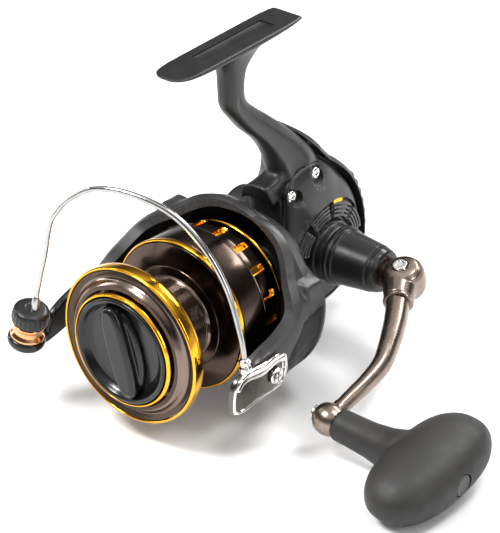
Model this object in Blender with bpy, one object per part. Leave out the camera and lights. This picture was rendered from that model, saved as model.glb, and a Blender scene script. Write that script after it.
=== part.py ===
"""Spinning reel, built piece by piece. Millimetres in here, metres in the mesh."""
import bpy
import bmesh
import math
import numpy as np
from mathutils import Matrix, Vector

for old in list(bpy.data.objects):
    bpy.data.objects.remove(old, do_unlink=True)

MM = 0.001
GAP = 0.3                        # clearance between neighbouring pieces

# ---- layout -------------------------------------------------------------
AX_Z = -95.3                     # main shaft axis, along Y
HY, HZ = 46.0, -99.9             # handle axis, along X
PHI = math.radians(-4.0)         # tilt of the bail pivot line
U = np.array([math.cos(PHI), 0.0, math.sin(PHI)])
N = np.array([-math.sin(PHI), 0.0, math.cos(PHI)])
PIV_Y, PIV_T = -28.0, -7.0       # bail pivot line, forward place and offset
GEAR_TEETH, PINION_TEETH = 41, 8
OSC_DRIVER, OSC_TEETH = 10, 18
ARM_W = np.array([0.0, -0.9555, -0.2958])   # handle arm direction
ARM_P = np.array([0.0, -0.2958, 0.9555])    # handle fold pin direction
BOSS = np.array([42.8, HY, HZ])             # handle boss centre
KNOB_AX = np.array([0.9976, 0.0, -0.0698])   # knob axle, four degrees off the handle axis
BALL_L, BALL_X = 69.5, 17.2                 # crank throw and outward set of the knob end


# ---- materials ----------------------------------------------------------
def make_mat(name, rgb, rough, metal):
    m = bpy.data.materials.new(name)
    m.use_nodes = True
    b = m.node_tree.nodes["Principled BSDF"]
    b.inputs["Base Color"].default_value = (*rgb, 1.0)
    b.inputs["Roughness"].default_value = rough
    b.inputs["Metallic"].default_value = metal
    m.diffuse_color = (*rgb, 1.0)
    return m


MATS = {
    "black_body": make_mat("black_body", (0.035, 0.034, 0.035), 0.42, 0.0),
    "black_gloss": make_mat("black_gloss", (0.012, 0.012, 0.013), 0.22, 0.0),
    "rotor_grey": make_mat("rotor_grey", (0.06, 0.06, 0.062), 0.4, 0.2),
    "gold": make_mat("gold", (0.80, 0.45, 0.08), 0.22, 1.0),
    "gunmetal": make_mat("gunmetal", (0.10, 0.085, 0.075), 0.25, 1.0),
    "bronze": make_mat("bronze", (0.36, 0.28, 0.23), 0.28, 1.0),
    "knob_rubber": make_mat("knob_rubber", (0.07, 0.068, 0.066), 0.7, 0.0),
    "chrome": make_mat("chrome", (0.78, 0.77, 0.75), 0.08, 1.0),
    "copper": make_mat("copper", (0.78, 0.44, 0.24), 0.18, 1.0),
    "steel": make_mat("steel", (0.55, 0.55, 0.56), 0.28, 1.0),
    "brass": make_mat("brass", (0.70, 0.52, 0.22), 0.3, 1.0),
    "alloy": make_mat("alloy", (0.48, 0.48, 0.49), 0.4, 1.0),
    "felt": make_mat("felt", (0.30, 0.27, 0.22), 0.95, 0.0),
    "plate_grey": make_mat("plate_grey", (0.13, 0.13, 0.135), 0.35, 0.6),
}


# ---- mesh helpers -------------------------------------------------------
def mesh_obj(name, verts, faces):
    me = bpy.data.meshes.new(name)
    me.from_pydata([tuple(np.asarray(v, float) * MM) for v in verts], [], faces)
    bm = bmesh.new()
    bm.from_mesh(me)
    bmesh.ops.remove_doubles(bm, verts=bm.verts, dist=1e-7)
    bmesh.ops.recalc_face_normals(bm, faces=bm.faces)
    bm.to_mesh(me)
    bm.free()
    ob = bpy.data.objects.new(name, me)
    bpy.context.scene.collection.objects.link(ob)
    return ob


def frame_for(axis):
    """Two unit vectors square to the axis, so (a, b, axis) is right handed."""
    k = np.asarray(axis, float)
    k = k / np.linalg.norm(k)
    ref = np.array([0.0, 0.0, 1.0]) if abs(k[2]) < 0.9 else np.array([1.0, 0.0, 0.0])
    a = np.cross(ref, k)
    a /= np.linalg.norm(a)
    return a, np.cross(k, a), k


def rings_obj(name, rings, closed=False):
    """Loft equal rings; ends are capped unless the loft closes on itself."""
    n = len(rings[0])
    verts = [p for ring in rings for p in ring]
    faces = []
    m = len(rings)
    for i in range(m if closed else m - 1):
        a, b = i * n, ((i + 1) % m) * n
        for j in range(n):
            k = (j + 1) % n
            faces.append((a + j, a + k, b + k, b + j))
    if not closed:
        faces.append(tuple(range(n)))
        faces.append(tuple(range((m - 1) * n, m * n)))
    return mesh_obj(name, verts, faces)


def lathe(name, profile, origin, axis, segs=28):
    """Turn (radius, along) points round an axis; r = 0 ends become poles."""
    a, b, k = frame_for(axis)
    origin = np.asarray(origin, float)
    solid = profile[0][0] == 0.0
    verts, faces, idx = [], [], []
    for r, h in profile:
        if r == 0.0:
            idx.append([len(verts)] * segs)
            verts.append(origin + k * h)
        else:
            row = []
            for j in range(segs):
                t = 2 * math.pi * j / segs
                row.append(len(verts))
                verts.append(origin + k * h + r * (math.cos(t) * a + math.sin(t) * b))
            idx.append(row)
    m = len(profile)
    for i in range(m - 1 if solid else m):
        p, q = idx[i], idx[(i + 1) % m]
        for j in range(segs):
            l = (j + 1) % segs
            f = []
            for v in (p[j], p[l], q[l], q[j]):
                if v not in f:
                    f.append(v)
            if len(f) > 2:
                faces.append(tuple(f))
    return mesh_obj(name, verts, faces)


def prism(name, outline, origin, axis, h0, h1, ea=None, bevel=0.0):
    """Extrude a 2-D outline (u, v) along an axis from h0 to h1, edges chamfered."""
    a, b, k = frame_for(axis)
    if ea is not None:
        a = np.asarray(ea, float)
        b = np.cross(k, a)
    o = np.asarray(origin, float)
    pts = np.asarray(outline, float)
    c = pts.mean(0)

    def ring(h, inset):
        out = []
        for p in pts:
            d = p - c
            s = 1.0 - inset / max(np.linalg.norm(d), 1e-6)
            q = c + d * s
            out.append(o + a * q[0] + b * q[1] + k * h)
        return out
    if bevel > 0:
        rings = [ring(h0, bevel), ring(h0 + bevel, 0), ring(h1 - bevel, 0), ring(h1, bevel)]
    else:
        rings = [ring(h0, 0), ring(h1, 0)]
    return rings_obj(name, rings)


def oval(rx, ry, n=32, p=2.0):
    """Superellipse outline."""
    out = []
    for j in range(n):
        t = 2 * math.pi * j / n
        c, s = math.cos(t), math.sin(t)
        out.append((rx * math.copysign(abs(c) ** (2 / p), c),
                    ry * math.copysign(abs(s) ** (2 / p), s)))
    return out


def smooth_path(points, per=6):
    """Catmull-Rom through the points."""
    p = [np.asarray(q, float) for q in points]
    p = [2 * p[0] - p[1]] + p + [2 * p[-1] - p[-2]]
    out = []
    for i in range(1, len(p) - 2):
        for s in range(per):
            t = s / per
            out.append(0.5 * ((2 * p[i]) + (p[i + 1] - p[i - 1]) * t
                              + (2 * p[i - 1] - 5 * p[i] + 4 * p[i + 1] - p[i + 2]) * t * t
                              + (3 * p[i] - p[i - 1] - 3 * p[i + 1] + p[i + 2]) * t ** 3))
    out.append(p[-2])
    return out


def tube(name, path, radius, segs=12, up=None):
    """Sweep a round section; radius is a number or a function of 0..1."""
    path = [np.asarray(q, float) for q in path]
    m = len(path)
    rings = []
    prev = None
    for i, q in enumerate(path):
        t = path[min(i + 1, m - 1)] - path[max(i - 1, 0)]
        t /= np.linalg.norm(t)
        if prev is None:
            a = frame_for(t)[0] if up is None else np.asarray(up, float)
        else:
            a = prev
        a = a - t * (a @ t)
        a /= np.linalg.norm(a)
        prev = a
        b = np.cross(t, a)
        r = radius(i / (m - 1)) if callable(radius) else radius
        rx, ry = r if isinstance(r, tuple) else (r, r)
        rings.append([q + rx * math.cos(2 * math.pi * j / segs) * a
                      + ry * math.sin(2 * math.pi * j / segs) * b for j in range(segs)])
    return rings_obj(name, rings)


def boole(ob, cutters, op="DIFFERENCE"):
    """Exact boolean, made real at once; the cutters go away."""
    for c in cutters:
        md = ob.modifiers.new("b", "BOOLEAN")
        md.solver = "EXACT"
        md.operation = op
        md.object = c
        dg = bpy.context.evaluated_depsgraph_get()
        me = bpy.data.meshes.new_from_object(ob.evaluated_get(dg))
        ob.modifiers.clear()
        ob.data = me
        bpy.data.objects.remove(c, do_unlink=True)
    bm = bmesh.new()
    bm.from_mesh(ob.data)
    bmesh.ops.remove_doubles(bm, verts=bm.verts, dist=2e-6)
    bmesh.ops.dissolve_degenerate(bm, edges=bm.edges, dist=2e-6)
    bmesh.ops.recalc_face_normals(bm, faces=bm.faces)
    bm.to_mesh(ob.data)
    bm.free()
    return ob


def finish(ob, mat, origin=(0, 0, 0), smooth=35):
    """Material, smooth shading with sharp edges, origin on the joint axis."""
    ob.data.materials.clear()
    ob.data.materials.append(MATS[mat])
    o = Vector([c * MM for c in origin])
    ob.data.transform(Matrix.Translation(-o))
    ob.location = o
    for p in ob.data.polygons:
        p.use_smooth = True
    ob.data.set_sharp_from_angle(angle=math.radians(smooth))
    return ob


def box(name, lo, hi):
    v = [(x, y, z) for x in (lo[0], hi[0]) for y in (lo[1], hi[1]) for z in (lo[2], hi[2])]
    f = [(0, 1, 3, 2), (4, 6, 7, 5), (0, 4, 5, 1), (2, 3, 7, 6), (0, 2, 6, 4), (1, 5, 7, 3)]
    return mesh_obj(name, v, f)


def cyl(name, r, h0, h1, origin, axis, segs=32, c=0.0):
    if c:
        prof = [(0.0, h0), (r - c, h0), (r, h0 + c), (r, h1 - c), (r - c, h1), (0.0, h1)]
    else:
        prof = [(0.0, h0), (r, h0), (r, h1), (0.0, h1)]
    return lathe(name, prof, origin, axis, segs)


def ringo(name, r0, r1, h0, h1, origin, axis, segs=20, c=0.0):
    if c:
        return lathe(name, [(r0, h0), (r1 - c, h0), (r1, h0 + c), (r1, h1 - c), (r1 - c, h1),
                            (r0, h1)], origin, axis, segs)
    return lathe(name, [(r0, h0), (r1, h0), (r1, h1), (r0, h1)], origin, axis, segs)


MAIN_O = (0.0, 0.0, AX_Z)
YAX = (0.0, 1.0, 0.0)
XAX = (1.0, 0.0, 0.0)
HAND_O = (0.0, HY, HZ)
PIV_O = np.array([0.0, PIV_Y, AX_Z]) + PIV_T * N


def bail_pt(s, f, t):
    """Point by distance along the pivot line, forward, and square to both."""
    return PIV_O + s * U + np.array([0.0, -f, 0.0]) + t * N


# ---- body housing with foot and stem ------------------------------------
SIDE = [(17.4, -70.0), (17.2, -67.0), (20.0, -64.6), (24.5, -61.5), (29.5, -58.0), (37.0, -57.2),
        (44.5, -61.2), (54.0, -68.6), (61.3, -76.8), (66.5, -86.4), (69.0, -97.0),
        (68.4, -107.0), (64.6, -115.8), (57.5, -121.8), (48.0, -124.4), (38.0, -123.8),
        (29.4, -121.6), (23.4, -117.4), (22.3, -110.0), (22.3, -73.0)]
BODY_X0, BODY_X1, COVER_X1 = -13.5, 4.6, 8.6


def side_outline(grow=0.0, per=2):
    pts = np.array(SIDE)
    closed = np.vstack([pts[-1:], pts, pts[:2]])
    out = []
    for i in range(1, len(closed) - 2):
        p0, p1, p2, p3 = closed[i - 1], closed[i], closed[i + 1], closed[i + 2]
        for s in range(per):
            t = s / per
            out.append(0.5 * (2 * p1 + (p2 - p0) * t + (2 * p0 - 5 * p1 + 4 * p2 - p3) * t * t
                              + (3 * p1 - p0 - 3 * p2 + p3) * t ** 3))
    out = np.array(out)
    ray = out - np.array([44.0, -92.0])
    return out + ray / np.linalg.norm(ray, axis=1)[:, None] * grow


def soft_min(a, b, k=1.6):
    return b - k * math.log(math.exp(-(a - b) / k) + 1.0) if a - b > -40 * k else a


def side_slab(name, levels):
    """Gear-case solid: outline at several x, each shrunk, with a soft ceiling and front wall."""
    rings = []
    for x, g, top, fore in levels:
        rings.append([(x, -soft_min(-y, -fore), soft_min(z, top)) for y, z in side_outline(g)])
    return rings_obj(name, rings)


body = side_slab("body_housing", [(BODY_X0, -5.0, -80.0, 20.0), (BODY_X0 + 1.0, -2.6, -76.0, 18.0),
                                  (BODY_X0 + 3.0, -0.8, -71.5, 15.0),
                                  (BODY_X0 + 6.0, 0.0, -66.5, 10.0), (-5.0, 0.0, -62.0, 10.0),
                                  (-2.4, 0.0, -58.0, 10.0), (0.5, 0.0, -50.0, 10.0),
                                  (BODY_X1 - 2.0, 0.0, -50.0, 10.0),
                                  (BODY_X1, -0.8, -50.0, 10.0)])

STEM = [  # front (y, z), rear (y, z), half width
    ((-17.0, -1.6), (23.0, -1.4), 7.2), ((-10.0, -3.0), (16.5, -3.0), 6.4),
    ((-6.2, -6.2), (11.2, -6.4), 5.2), ((-4.7, -11.0), (7.0, -11.0), 4.3),
    ((-4.4, -18.0), (5.8, -18.0), 3.9), ((-3.6, -24.0), (6.8, -23.6), 4.0),
    ((1.2, -30.5), (12.0, -28.9), 4.4), ((6.6, -36.6), (19.0, -34.6), 4.9),
    ((13.2, -42.8), (27.0, -41.4), 5.4), ((18.4, -49.4), (35.6, -49.2), 6.0),
    ((21.8, -56.5), (43.6, -57.6), 6.6), ((25.0, -67.0), (49.0, -69.0), 6.6)]


def stem_solid():
    pts = [np.array([*f, *r, w]) for f, r, w in STEM]
    rings = []
    for q in pts:
        f, r, w = q[0:2], q[2:4], q[4]
        mid, half = (f + r) / 2, (r - f) / 2
        ring = []
        for (cx, cy) in oval(1.0, 1.0, 16, 2.6):
            yz = mid + half * cx
            ring.append((w * cy, yz[0], yz[1]))
        rings.append(ring)
    return rings_obj("stem", rings)


def foot_solid():
    """Long shallow saddle: rounded front, squared rear, flat top."""
    ys = [-34.6, -33.9, -32.2, -29.5, -24.0, -14.0, 0.0, 12.0, 22.0, 29.0, 32.2, 33.2]
    hw = [2.6, 4.4, 6.0, 7.1, 7.7, 7.8, 7.8, 7.8, 7.8, 7.5, 7.0, 6.6]
    th = [1.0, 1.1, 1.3, 1.7, 2.3, 3.0, 3.4, 3.1, 2.5, 1.9, 1.7, 1.6]
    rings = []
    for y, w, t in zip(ys, hw, th):
        c = min(0.5, t * 0.3)
        sec = [(-w + c, 0.0), (w - c, 0.0), (w, -c), (w, -t * 0.55), (w * 0.72, -t),
               (-w * 0.72, -t), (-w, -t * 0.55), (-w, -c)]
        rings.append([(x, y, z) for x, z in sec])
    return rings_obj("foot", rings)


COVER = [(23.6, -110.0), (23.6, -90.0), (23.6, -70.0), (25.6, -66.0), (30.0, -63.2), (36.0, -62.4),
         (42.8, -63.6), (48.0, -66.4), (53.2, -70.4), (60.2, -78.0), (65.0, -87.0), (67.2, -97.0),
         (66.8, -106.6), (63.4, -114.6), (56.9, -120.0), (48.0, -122.5), (38.2, -121.9),
         (30.0, -120.2), (25.0, -116.0)]


def cover_solid(name, levels):
    """Plate with the cover's outline, shrunk towards its middle level by level."""
    mid = np.array([46.0, -94.0])
    rings = []
    for x, g in levels:
        ring = []
        for y, z in COVER:
            d = np.array([y, z]) - mid
            q = mid + d * (1.0 - g / np.linalg.norm(d))
            ring.append((x, q[0], q[1]))
        rings.append(ring)
    return rings_obj(name, rings)


boole(body, [stem_solid(), foot_solid()], "UNION")
left_boss = cyl("left_boss", 17.0, -18.0, -10.0, HAND_O, XAX, 28, 1.6)
left_bulge = cyl("left_bulge", 12.0, -24.0, -9.4, (0.0, 31.2, -88.6), XAX, 22, 2.2)
boole(left_boss, [left_bulge], "UNION")
boole(body, [left_boss], "UNION")
CAV_X = -8.6
ROD_X, ROD_Z = 0.2, -81.2
boole(body, [
    lathe("cav", [(0.0, -21.0), (3.4, -21.0), (3.4, -12.6), (6.3, -12.6), (6.3, CAV_X),
                  (19.8, CAV_X), (19.8, 20.0), (0.0, 20.0)], HAND_O, XAX, 32),
    box("cav2", (-2.4, 31.6, -92.0), (20.0, 59.4, -79.0))])
boole(body, [cover_solid("seat", ((BODY_X1, -0.35), (BODY_X1 + 12.0, -0.35)))])
boole(body, [lathe("sweep", [(0.0, 0.0), (42.0, 0.0), (42.0, 6.8), (37.0, 11.8), (27.0, 17.3),
                             (21.6, 19.2), (18.4, 21.95), (0.0, 21.95)], MAIN_O, YAX, 26)])
boole(body, [lathe("collar", [(0.0, 19.8), (13.8, 19.8), (14.2, 20.2), (14.2, 23.2), (0.0, 23.2)],
                   MAIN_O, YAX, 28)], "UNION")
boole(body, [lathe("nose", [(0.0, 10.0), (12.8, 10.0), (12.8, 22.6), (4.3, 22.6), (4.3, 32.0),
                            (0.0, 32.0)], MAIN_O, YAX, 28)])
saddle = box("saddle", (-2.1, 32.6, -94.0), (4.2, 36.4, -76.0))
boole(body, [saddle], "UNION")
boole(body, [cyl("seat2", 4.25, 31.0, 38.0, MAIN_O, YAX, 24),
             cyl("rod1", 1.3, 30.0, 61.9, (ROD_X, 0.0, ROD_Z), YAX, 12)])

# ---- side cover, rear bumper, gear cap, left cap ------------------------
cover = cover_solid("side_cover", ((BODY_X1 + GAP, 0.0), (BODY_X1 + 1.8, 0.0),
                                   (BODY_X1 + 3.1, 0.8), (COVER_X1, 2.4)))
boole(cover, [lathe("pk", [(11.9, 6.6), (20.2, 6.6), (20.2, 14.0), (11.9, 14.0)], HAND_O, XAX, 26)])
neck_r = lathe("neck_r", [(0.0, 5.2), (11.9, 5.2), (11.9, 9.4), (10.9, 10.4), (10.6, 12.6),
                          (10.0, 13.4), (0.0, 13.4)], HAND_O, XAX, 26)
post = cyl("post", 1.4, 2.7, 6.0, (0.0, HY, HZ + 11.9), XAX, 12, 0.2)
boole(cover, [neck_r, post], "UNION")
boole(cover, [lathe("sb", [(0.0, 4.0), (6.3, 4.0), (6.3, 11.4), (3.4, 11.4), (3.4, 15.0), (0.0, 15.0)],
                    HAND_O, XAX, 20)])

SCREWS = [(24.9, -68.6), (38.9, -64.8)]
HIDDEN = [(28.4, -115.4)]
for i, (y, z) in enumerate(SCREWS + HIDDEN):
    big = i < 2
    pit = lathe("pit%d" % i, [(0.0, 3.0), (1.35, 3.0), (1.35, 6.0), (2.3, 6.0),
                              (3.2 if big else 2.5, 11.0), (0.0, 11.0)], (0, y, z), XAX, 12)
    blind = cyl("blind%d" % i, 1.35, 0.4, 7.0, (0, y, z), XAX, 10)
    boole(cover, [pit])
    boole(body, [blind])


def screw(name, origin, axis, head_r, head_h, shank_r, length, recess=0.8):
    """Pan head with a driver recess; the head top is at +head_h along the axis."""
    return lathe(name, [(0.0, -length), (shank_r, -length), (shank_r, 0.0), (head_r, 0.0),
                        (head_r, head_h * 0.55), (head_r * 0.8, head_h), (head_r * 0.4, head_h),
                        (head_r * 0.36, head_h - recess), (0.0, head_h - recess)],
                 origin, axis, 12)


for nm, (y, z) in zip(("cover_screw_front", "cover_screw_top", "cover_screw_low"),
                      SCREWS + HIDDEN):
    finish(screw(nm, (6.3, y, z), XAX, 1.95, 1.3, 1.05, 5.4), "chrome")

finish(body, "black_body")
finish(cover, "black_body")


def ring_gear_cap():
    """Trim ring in the round recess, with raised blocks along its upper half."""
    rings = []
    for i in range(48):
        t = 2 * math.pi * i / 48
        block = 1 < i < 22 and i % 5 != 1
        h = 9.0 if block else 7.7
        r1 = 19.0 if block else 19.8
        c, q = math.cos(t), math.sin(t)
        rings.append([(x, HY + r * c, HZ + r * q) for r, x in (
            (12.3, 6.9), (19.8, 6.9), (19.8, 7.7), (r1, h), (13.6, h), (12.3, 7.7))])
    return rings_obj("gear_cap", rings, closed=True)


finish(ring_gear_cap(), "black_gloss")


def rear_band():
    """Bumper shell round the back of the case, ribbed low down."""
    pts = side_outline(0.7, per=3)
    keep = [q for q in pts if q[0] > 48.5 and -117.0 < q[1] < -60.0]
    keep.sort(key=lambda q: -q[1])
    m = len(keep)
    rings = []
    for i, q in enumerate(keep):
        t = keep[min(i + 1, m - 1)] - keep[max(i - 1, 0)]
        t /= np.linalg.norm(t)
        nrm = np.array([-t[1], t[0]])
        s = i / (m - 1)
        end = min(1.0, s * 5 + 0.1, (1 - s) * 5 + 0.3)
        rib = 1.0 if (s > 0.3 and i % 2 == 0) else 0.0
        th = 0.8 + 1.5 * end + 0.9 * rib * end
        w = 5.0 + 4.6 * min(1.0, s * 2.2)
        sec = [(-w, 0.0), (w, 0.0), (w, th * 0.45), (w * 0.78, th * 0.9), (w * 0.35, th),
               (-w * 0.35, th), (-w * 0.78, th * 0.9), (-w, th * 0.45)]
        rings.append([(x - 2.2, q[0] + nrm[0] * h, q[1] + nrm[1] * h) for x, h in sec])
    return rings_obj("rear_bumper", rings)


finish(rear_band(), "black_gloss")
left_cap = lathe("left_cap", [(0.0, -18.3), (6.2, -18.3), (6.2, -19.8), (5.4, -20.8), (2.4, -21.2),
                              (2.2, -20.4), (0.0, -20.4)], HAND_O, XAX, 20)
left_stub = cyl("left_stub", 3.0, -18.6, -13.2, HAND_O, XAX, 16, 0.3)
boole(left_cap, [left_stub], "UNION")
finish(left_cap, "black_gloss")

# ---- bearings, clutch, pinion, drive gear, oscillation ------------------
finish(ringo("drive_bearing_left", 3.1, 6.0, -12.3, -9.0, HAND_O, XAX, 18), "steel")
finish(ringo("drive_bearing_right", 3.1, 6.0, 8.0, 11.1, HAND_O, XAX, 18), "steel")
finish(lathe("one_way_clutch", [(4.0, 19.9), (10.6, 19.9), (12.4, 20.6), (12.4, 22.3), (4.0, 22.3)],
             MAIN_O, YAX, 20), "alloy")
finish(ringo("pinion_bearing_front", 2.75, 4.0, 23.4, 26.6, MAIN_O, YAX, 18), "steel")
finish(ringo("pinion_bearing_rear", 2.85, 4.0, 33.9, 36.1, MAIN_O, YAX, 18), "steel")


def toothed(name, z, rp, h0, h1, bore, origin, axis, phase=0.0, add=0.62, ded=0.85):
    """Straight-cut gear with trapezoid teeth, rp its pitch radius."""
    out = []
    step = 2 * math.pi / z
    for i in range(z):
        c = step * i + phase
        for da, r in ((-0.29, rp - ded), (-0.11, rp + add), (0.11, rp + add), (0.29, rp - ded)):
            t = c + da * step
            out.append((r * math.cos(t), r * math.sin(t)))
    a, b, k = frame_for(axis)
    o = np.asarray(origin, float)
    n = len(out)
    ang = [math.atan2(q[1], q[0]) for q in out]
    rings = []
    for r_in, h in ((True, h0), (False, h0), (False, h1), (True, h1)):
        ring = []
        for q, t in zip(out, ang):
            u, v = (bore * math.cos(t), bore * math.sin(t)) if r_in else q
            ring.append(o + a * u + b * v + k * h)
        rings.append(ring)
    return rings_obj(name, rings, closed=True)


EFF_D = 16.37                                  # mesh point ahead of the handle axis
PIN_R = EFF_D * PINION_TEETH / GEAR_TEETH
pinion = toothed("pinion_gear", PINION_TEETH, PIN_R, 27.3, 31.9, 1.8, MAIN_O, YAX, math.pi)
front = lathe("pf", [(1.8, 4.2), (3.0, 4.2), (3.0, 8.3), (3.7, 8.5), (3.7, 22.7), (2.65, 23.0), (2.65, 27.6),
                     (1.8, 27.6)], MAIN_O, YAX, 14)
back = lathe("pb", [(1.8, 31.6), (2.3, 31.6), (2.75, 32.4), (2.75, 36.4), (1.8, 36.4)],
             MAIN_O, YAX, 14)
boole(pinion, [front, back], "UNION")
finish(pinion, "brass", MAIN_O, 30)

drive = lathe("drive_gear", [(0.0, -12.6), (2.8, -12.4), (2.8, -8.4), (5.2, -8.2), (5.2, -7.0),
                             (15.4, -7.0), (19.0, -6.4), (19.0, -4.3), (13.9, -4.3),
                             (13.5, -5.7), (5.2, -5.7), (5.2, -2.3), (2.6, -2.3), (2.6, 2.6),
                             (2.8, 2.7), (2.8, 12.3), (0.0, 12.3)], HAND_O, XAX, 26)


def crown_teeth():
    """Face teeth set parallel to the pinion where they meet it."""
    off = AX_Z - HZ
    bm = bmesh.new()
    for i in range(GEAR_TEETH):
        ang = 2 * math.pi * (i + 0.5) / GEAR_TEETH
        c, s = math.cos(ang), math.sin(ang)
        hs = []
        for x, half in ((-4.7, 0.50), (-2.62, 0.26)):
            for d in (14.6, 18.2):
                for w in (-half, half):
                    y, z = -d, off + w
                    hs.append((x, y * c - z * s + HY, y * s + z * c + HZ))
        v = [bm.verts.new([q * MM for q in p]) for p in hs]
        for p, q in ((0, 1), (1, 3), (3, 2), (2, 0)):
            bm.faces.new((v[p], v[q], v[q + 4], v[p + 4]))
        bm.faces.new((v[0], v[2], v[3], v[1]))
        bm.faces.new((v[4], v[5], v[7], v[6]))
    bmesh.ops.recalc_face_normals(bm, faces=bm.faces)
    me = bpy.data.meshes.new("crown")
    bm.to_mesh(me)
    bm.free()
    ob = bpy.data.objects.new("crown", me)
    bpy.context.scene.collection.objects.link(ob)
    return ob


OSC_D = 11.9
OSC_SHORT = -0.15                # tooth tips stop inside the pitch circle, so each gear turns alone
OSC_DED = 0.85
OSC_R1 = OSC_D * OSC_DRIVER / (OSC_DRIVER + OSC_TEETH)
OSC_R2 = OSC_D - OSC_R1
small = toothed("sm", OSC_DRIVER, OSC_R1, 2.8, 4.4, 2.7, HAND_O, XAX, math.pi / 2, OSC_SHORT,
                OSC_DED)
boole(drive, [crown_teeth(), small], "UNION")
finish(drive, "brass", HAND_O, 30)
osc = toothed("oscillation_gear", OSC_TEETH, OSC_R2, 2.8, 4.4, 1.7, (0, HY, HZ + OSC_D), XAX,
              math.pi / 2 + math.pi / OSC_TEETH, OSC_SHORT, OSC_DED)
finish(osc, "brass", (0, HY, HZ + OSC_D), 30)

slider = box("oscillation_slider", (-2.2, 44.8, -96.9), (2.5, 51.6, -86.2))
boole(slider, [box("sl1", (-1.8, 44.0, -98.0), (1.8, 53.0, -93.4)),
               box("sl2", (1.4, 46.6, -98.0), (3.0, 49.4, -85.0))])
ear = box("ear", (-1.6, 47.0, -88.6), (2.0, 49.4, -79.4))
boole(slider, [ear], "UNION")
boole(slider, [cyl("er", 1.3, 30.0, 60.0, (ROD_X, 0.0, ROD_Z), YAX, 12)])
finish(slider, "alloy", MAIN_O, 30)
finish(cyl("slider_guide_rod", 1.0, 30.4, 61.5, (ROD_X, 0.0, ROD_Z), YAX, 12), "steel")

# ---- main shaft and spool ----------------------------------------------
finish(lathe("main_shaft", [(0.0, -58.2), (1.2, -58.2), (1.5, -57.9), (1.5, -24.6), (2.6, -24.5),
                            (2.6, -23.2), (1.5, -23.1), (1.5, 51.8), (1.2, 52.1), (0.0, 52.1)],
             MAIN_O, YAX, 16), "steel", MAIN_O)

SPOOL = [(22.4, -59.2), (23.9, -58.9), (25.9, -56.4), (26.8, -56.1), (28.6, -57.0),
         (28.6, -51.9), (27.6, -51.0), (16.6, -48.9), (15.4, -46.5), (15.4, -33.2), (16.2, -31.9),
         (27.9, -30.2), (27.9, -27.4), (28.6, -27.2), (28.6, -14.6), (27.4, -9.0), (25.9, -4.2),
         (24.6, -4.0), (24.6, -1.7), (23.4, -1.7), (26.0, -12.0), (26.2, -25.0), (25.0, -27.6),
         (5.0, -28.8), (5.0, -25.0), (3.7, -25.0), (3.7, -36.4), (13.3, -36.4), (13.3, -52.0),
         (21.9, -52.4)]
spool = lathe("spool", SPOOL, MAIN_O, YAX, 32)
SLOTS = 18
for i in range(SLOTS):
    t = 2 * math.pi * i / SLOTS
    sl = box("sl", (24.0, -15.0, -2.4), (30.0, -9.2, 2.4))
    sl.data.transform(Matrix.Rotation(-t, 4, "Y"))
    sl.data.transform(Matrix.Translation(Vector((0, 0, AX_Z * MM))))
    boole(spool, [sl])
finish(spool, "gunmetal", MAIN_O, 28)
finish(lathe("lip_ring", [(28.9, -56.9), (29.5, -57.3), (30.0, -56.7), (30.0, -55.1), (29.6, -54.5),
                          (30.0, -53.9), (30.0, -52.3), (29.5, -51.7), (28.9, -51.7)],
             MAIN_O, YAX, 32), "gold", MAIN_O, 28)
finish(lathe("skirt_ring_front", [(28.2, -29.9), (28.7, -29.9), (28.95, -28.8), (28.7, -27.6),
                                  (28.2, -27.6)], MAIN_O, YAX, 32), "gold", MAIN_O, 28)
finish(lathe("skirt_ring_rear", [(24.9, -3.7), (25.5, -3.2), (25.4, -2.2), (24.9, -1.8)],
             MAIN_O, YAX, 32), "gold", MAIN_O, 28)
finish(ringo("spool_bush", 1.8, 3.4, -36.0, -25.0, MAIN_O, YAX, 16), "brass", MAIN_O)
finish(toothed("click_ratchet", 12, 8.6, -28.4, -26.8, 5.3, MAIN_O, YAX, 0.0, 0.5, 0.7), "alloy",
       MAIN_O, 30)
for nm, r0, r1, h0, h1, m in (("drag_felt_inner", 2.0, 12.9, -37.7, -36.7, "felt"),
                              ("drag_disc_inner", 2.0, 12.9, -39.0, -38.0, "steel"),
                              ("drag_felt_middle", 2.0, 12.9, -40.3, -39.3, "felt"),
                              ("drag_disc_outer", 2.0, 12.9, -41.6, -40.6, "steel"),
                              ("drag_felt_outer", 2.0, 12.9, -42.9, -41.9, "felt"),
                              ("drag_clip", 11.6, 13.0, -43.9, -43.2, "steel")):
    finish(ringo(nm, r0, r1, h0, h1, MAIN_O, YAX, 18), m, MAIN_O)

coil = []
for i in range(34):
    t = i / 33
    an = 2 * math.pi * 3.2 * t
    coil.append((6.2 * math.cos(an), -45.0 - 4.6 * t, AX_Z + 6.2 * math.sin(an)))
finish(tube("drag_spring", coil, 0.45, 5), "steel", MAIN_O)

knob = lathe("drag_knob", [(0.0, -58.9), (15.6, -58.9), (17.6, -60.2), (18.4, -62.0), (19.4, -62.4),
                           (20.2, -61.9), (20.2, -57.0), (19.6, -53.0), (18.9, -52.8),
                           (12.9, -52.8), (12.9, -51.6), (9.4, -50.3), (3.2, -50.3), (1.85, -50.3),
                           (1.85, -58.5), (0.0, -58.5)], MAIN_O, YAX, 28)
bar = prism("bar", oval(16.9, 3.6, 16, 3.4), (0, -59.9, AX_Z), (0, -1, 0), -0.6, 4.3,
            (math.cos(math.radians(106)), 0, math.sin(math.radians(106))), 0.7)
boole(knob, [bar], "UNION")
finish(knob, "black_gloss", MAIN_O, 32)
finish(lathe("knob_ring", [(20.55, -61.0), (20.55, -59.9), (21.0, -59.6), (21.7, -59.9),
                           (21.8, -60.5), (21.4, -61.4), (20.9, -61.6)], MAIN_O, YAX, 30), "gold",
       MAIN_O, 28)

# ---- rotor --------------------------------------------------------------
R_ARM = PHI - math.radians(11.5)                 # middle of the right arm
L_ARM = math.pi + PHI + math.radians(4.0)       # middle of the left arm


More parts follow.
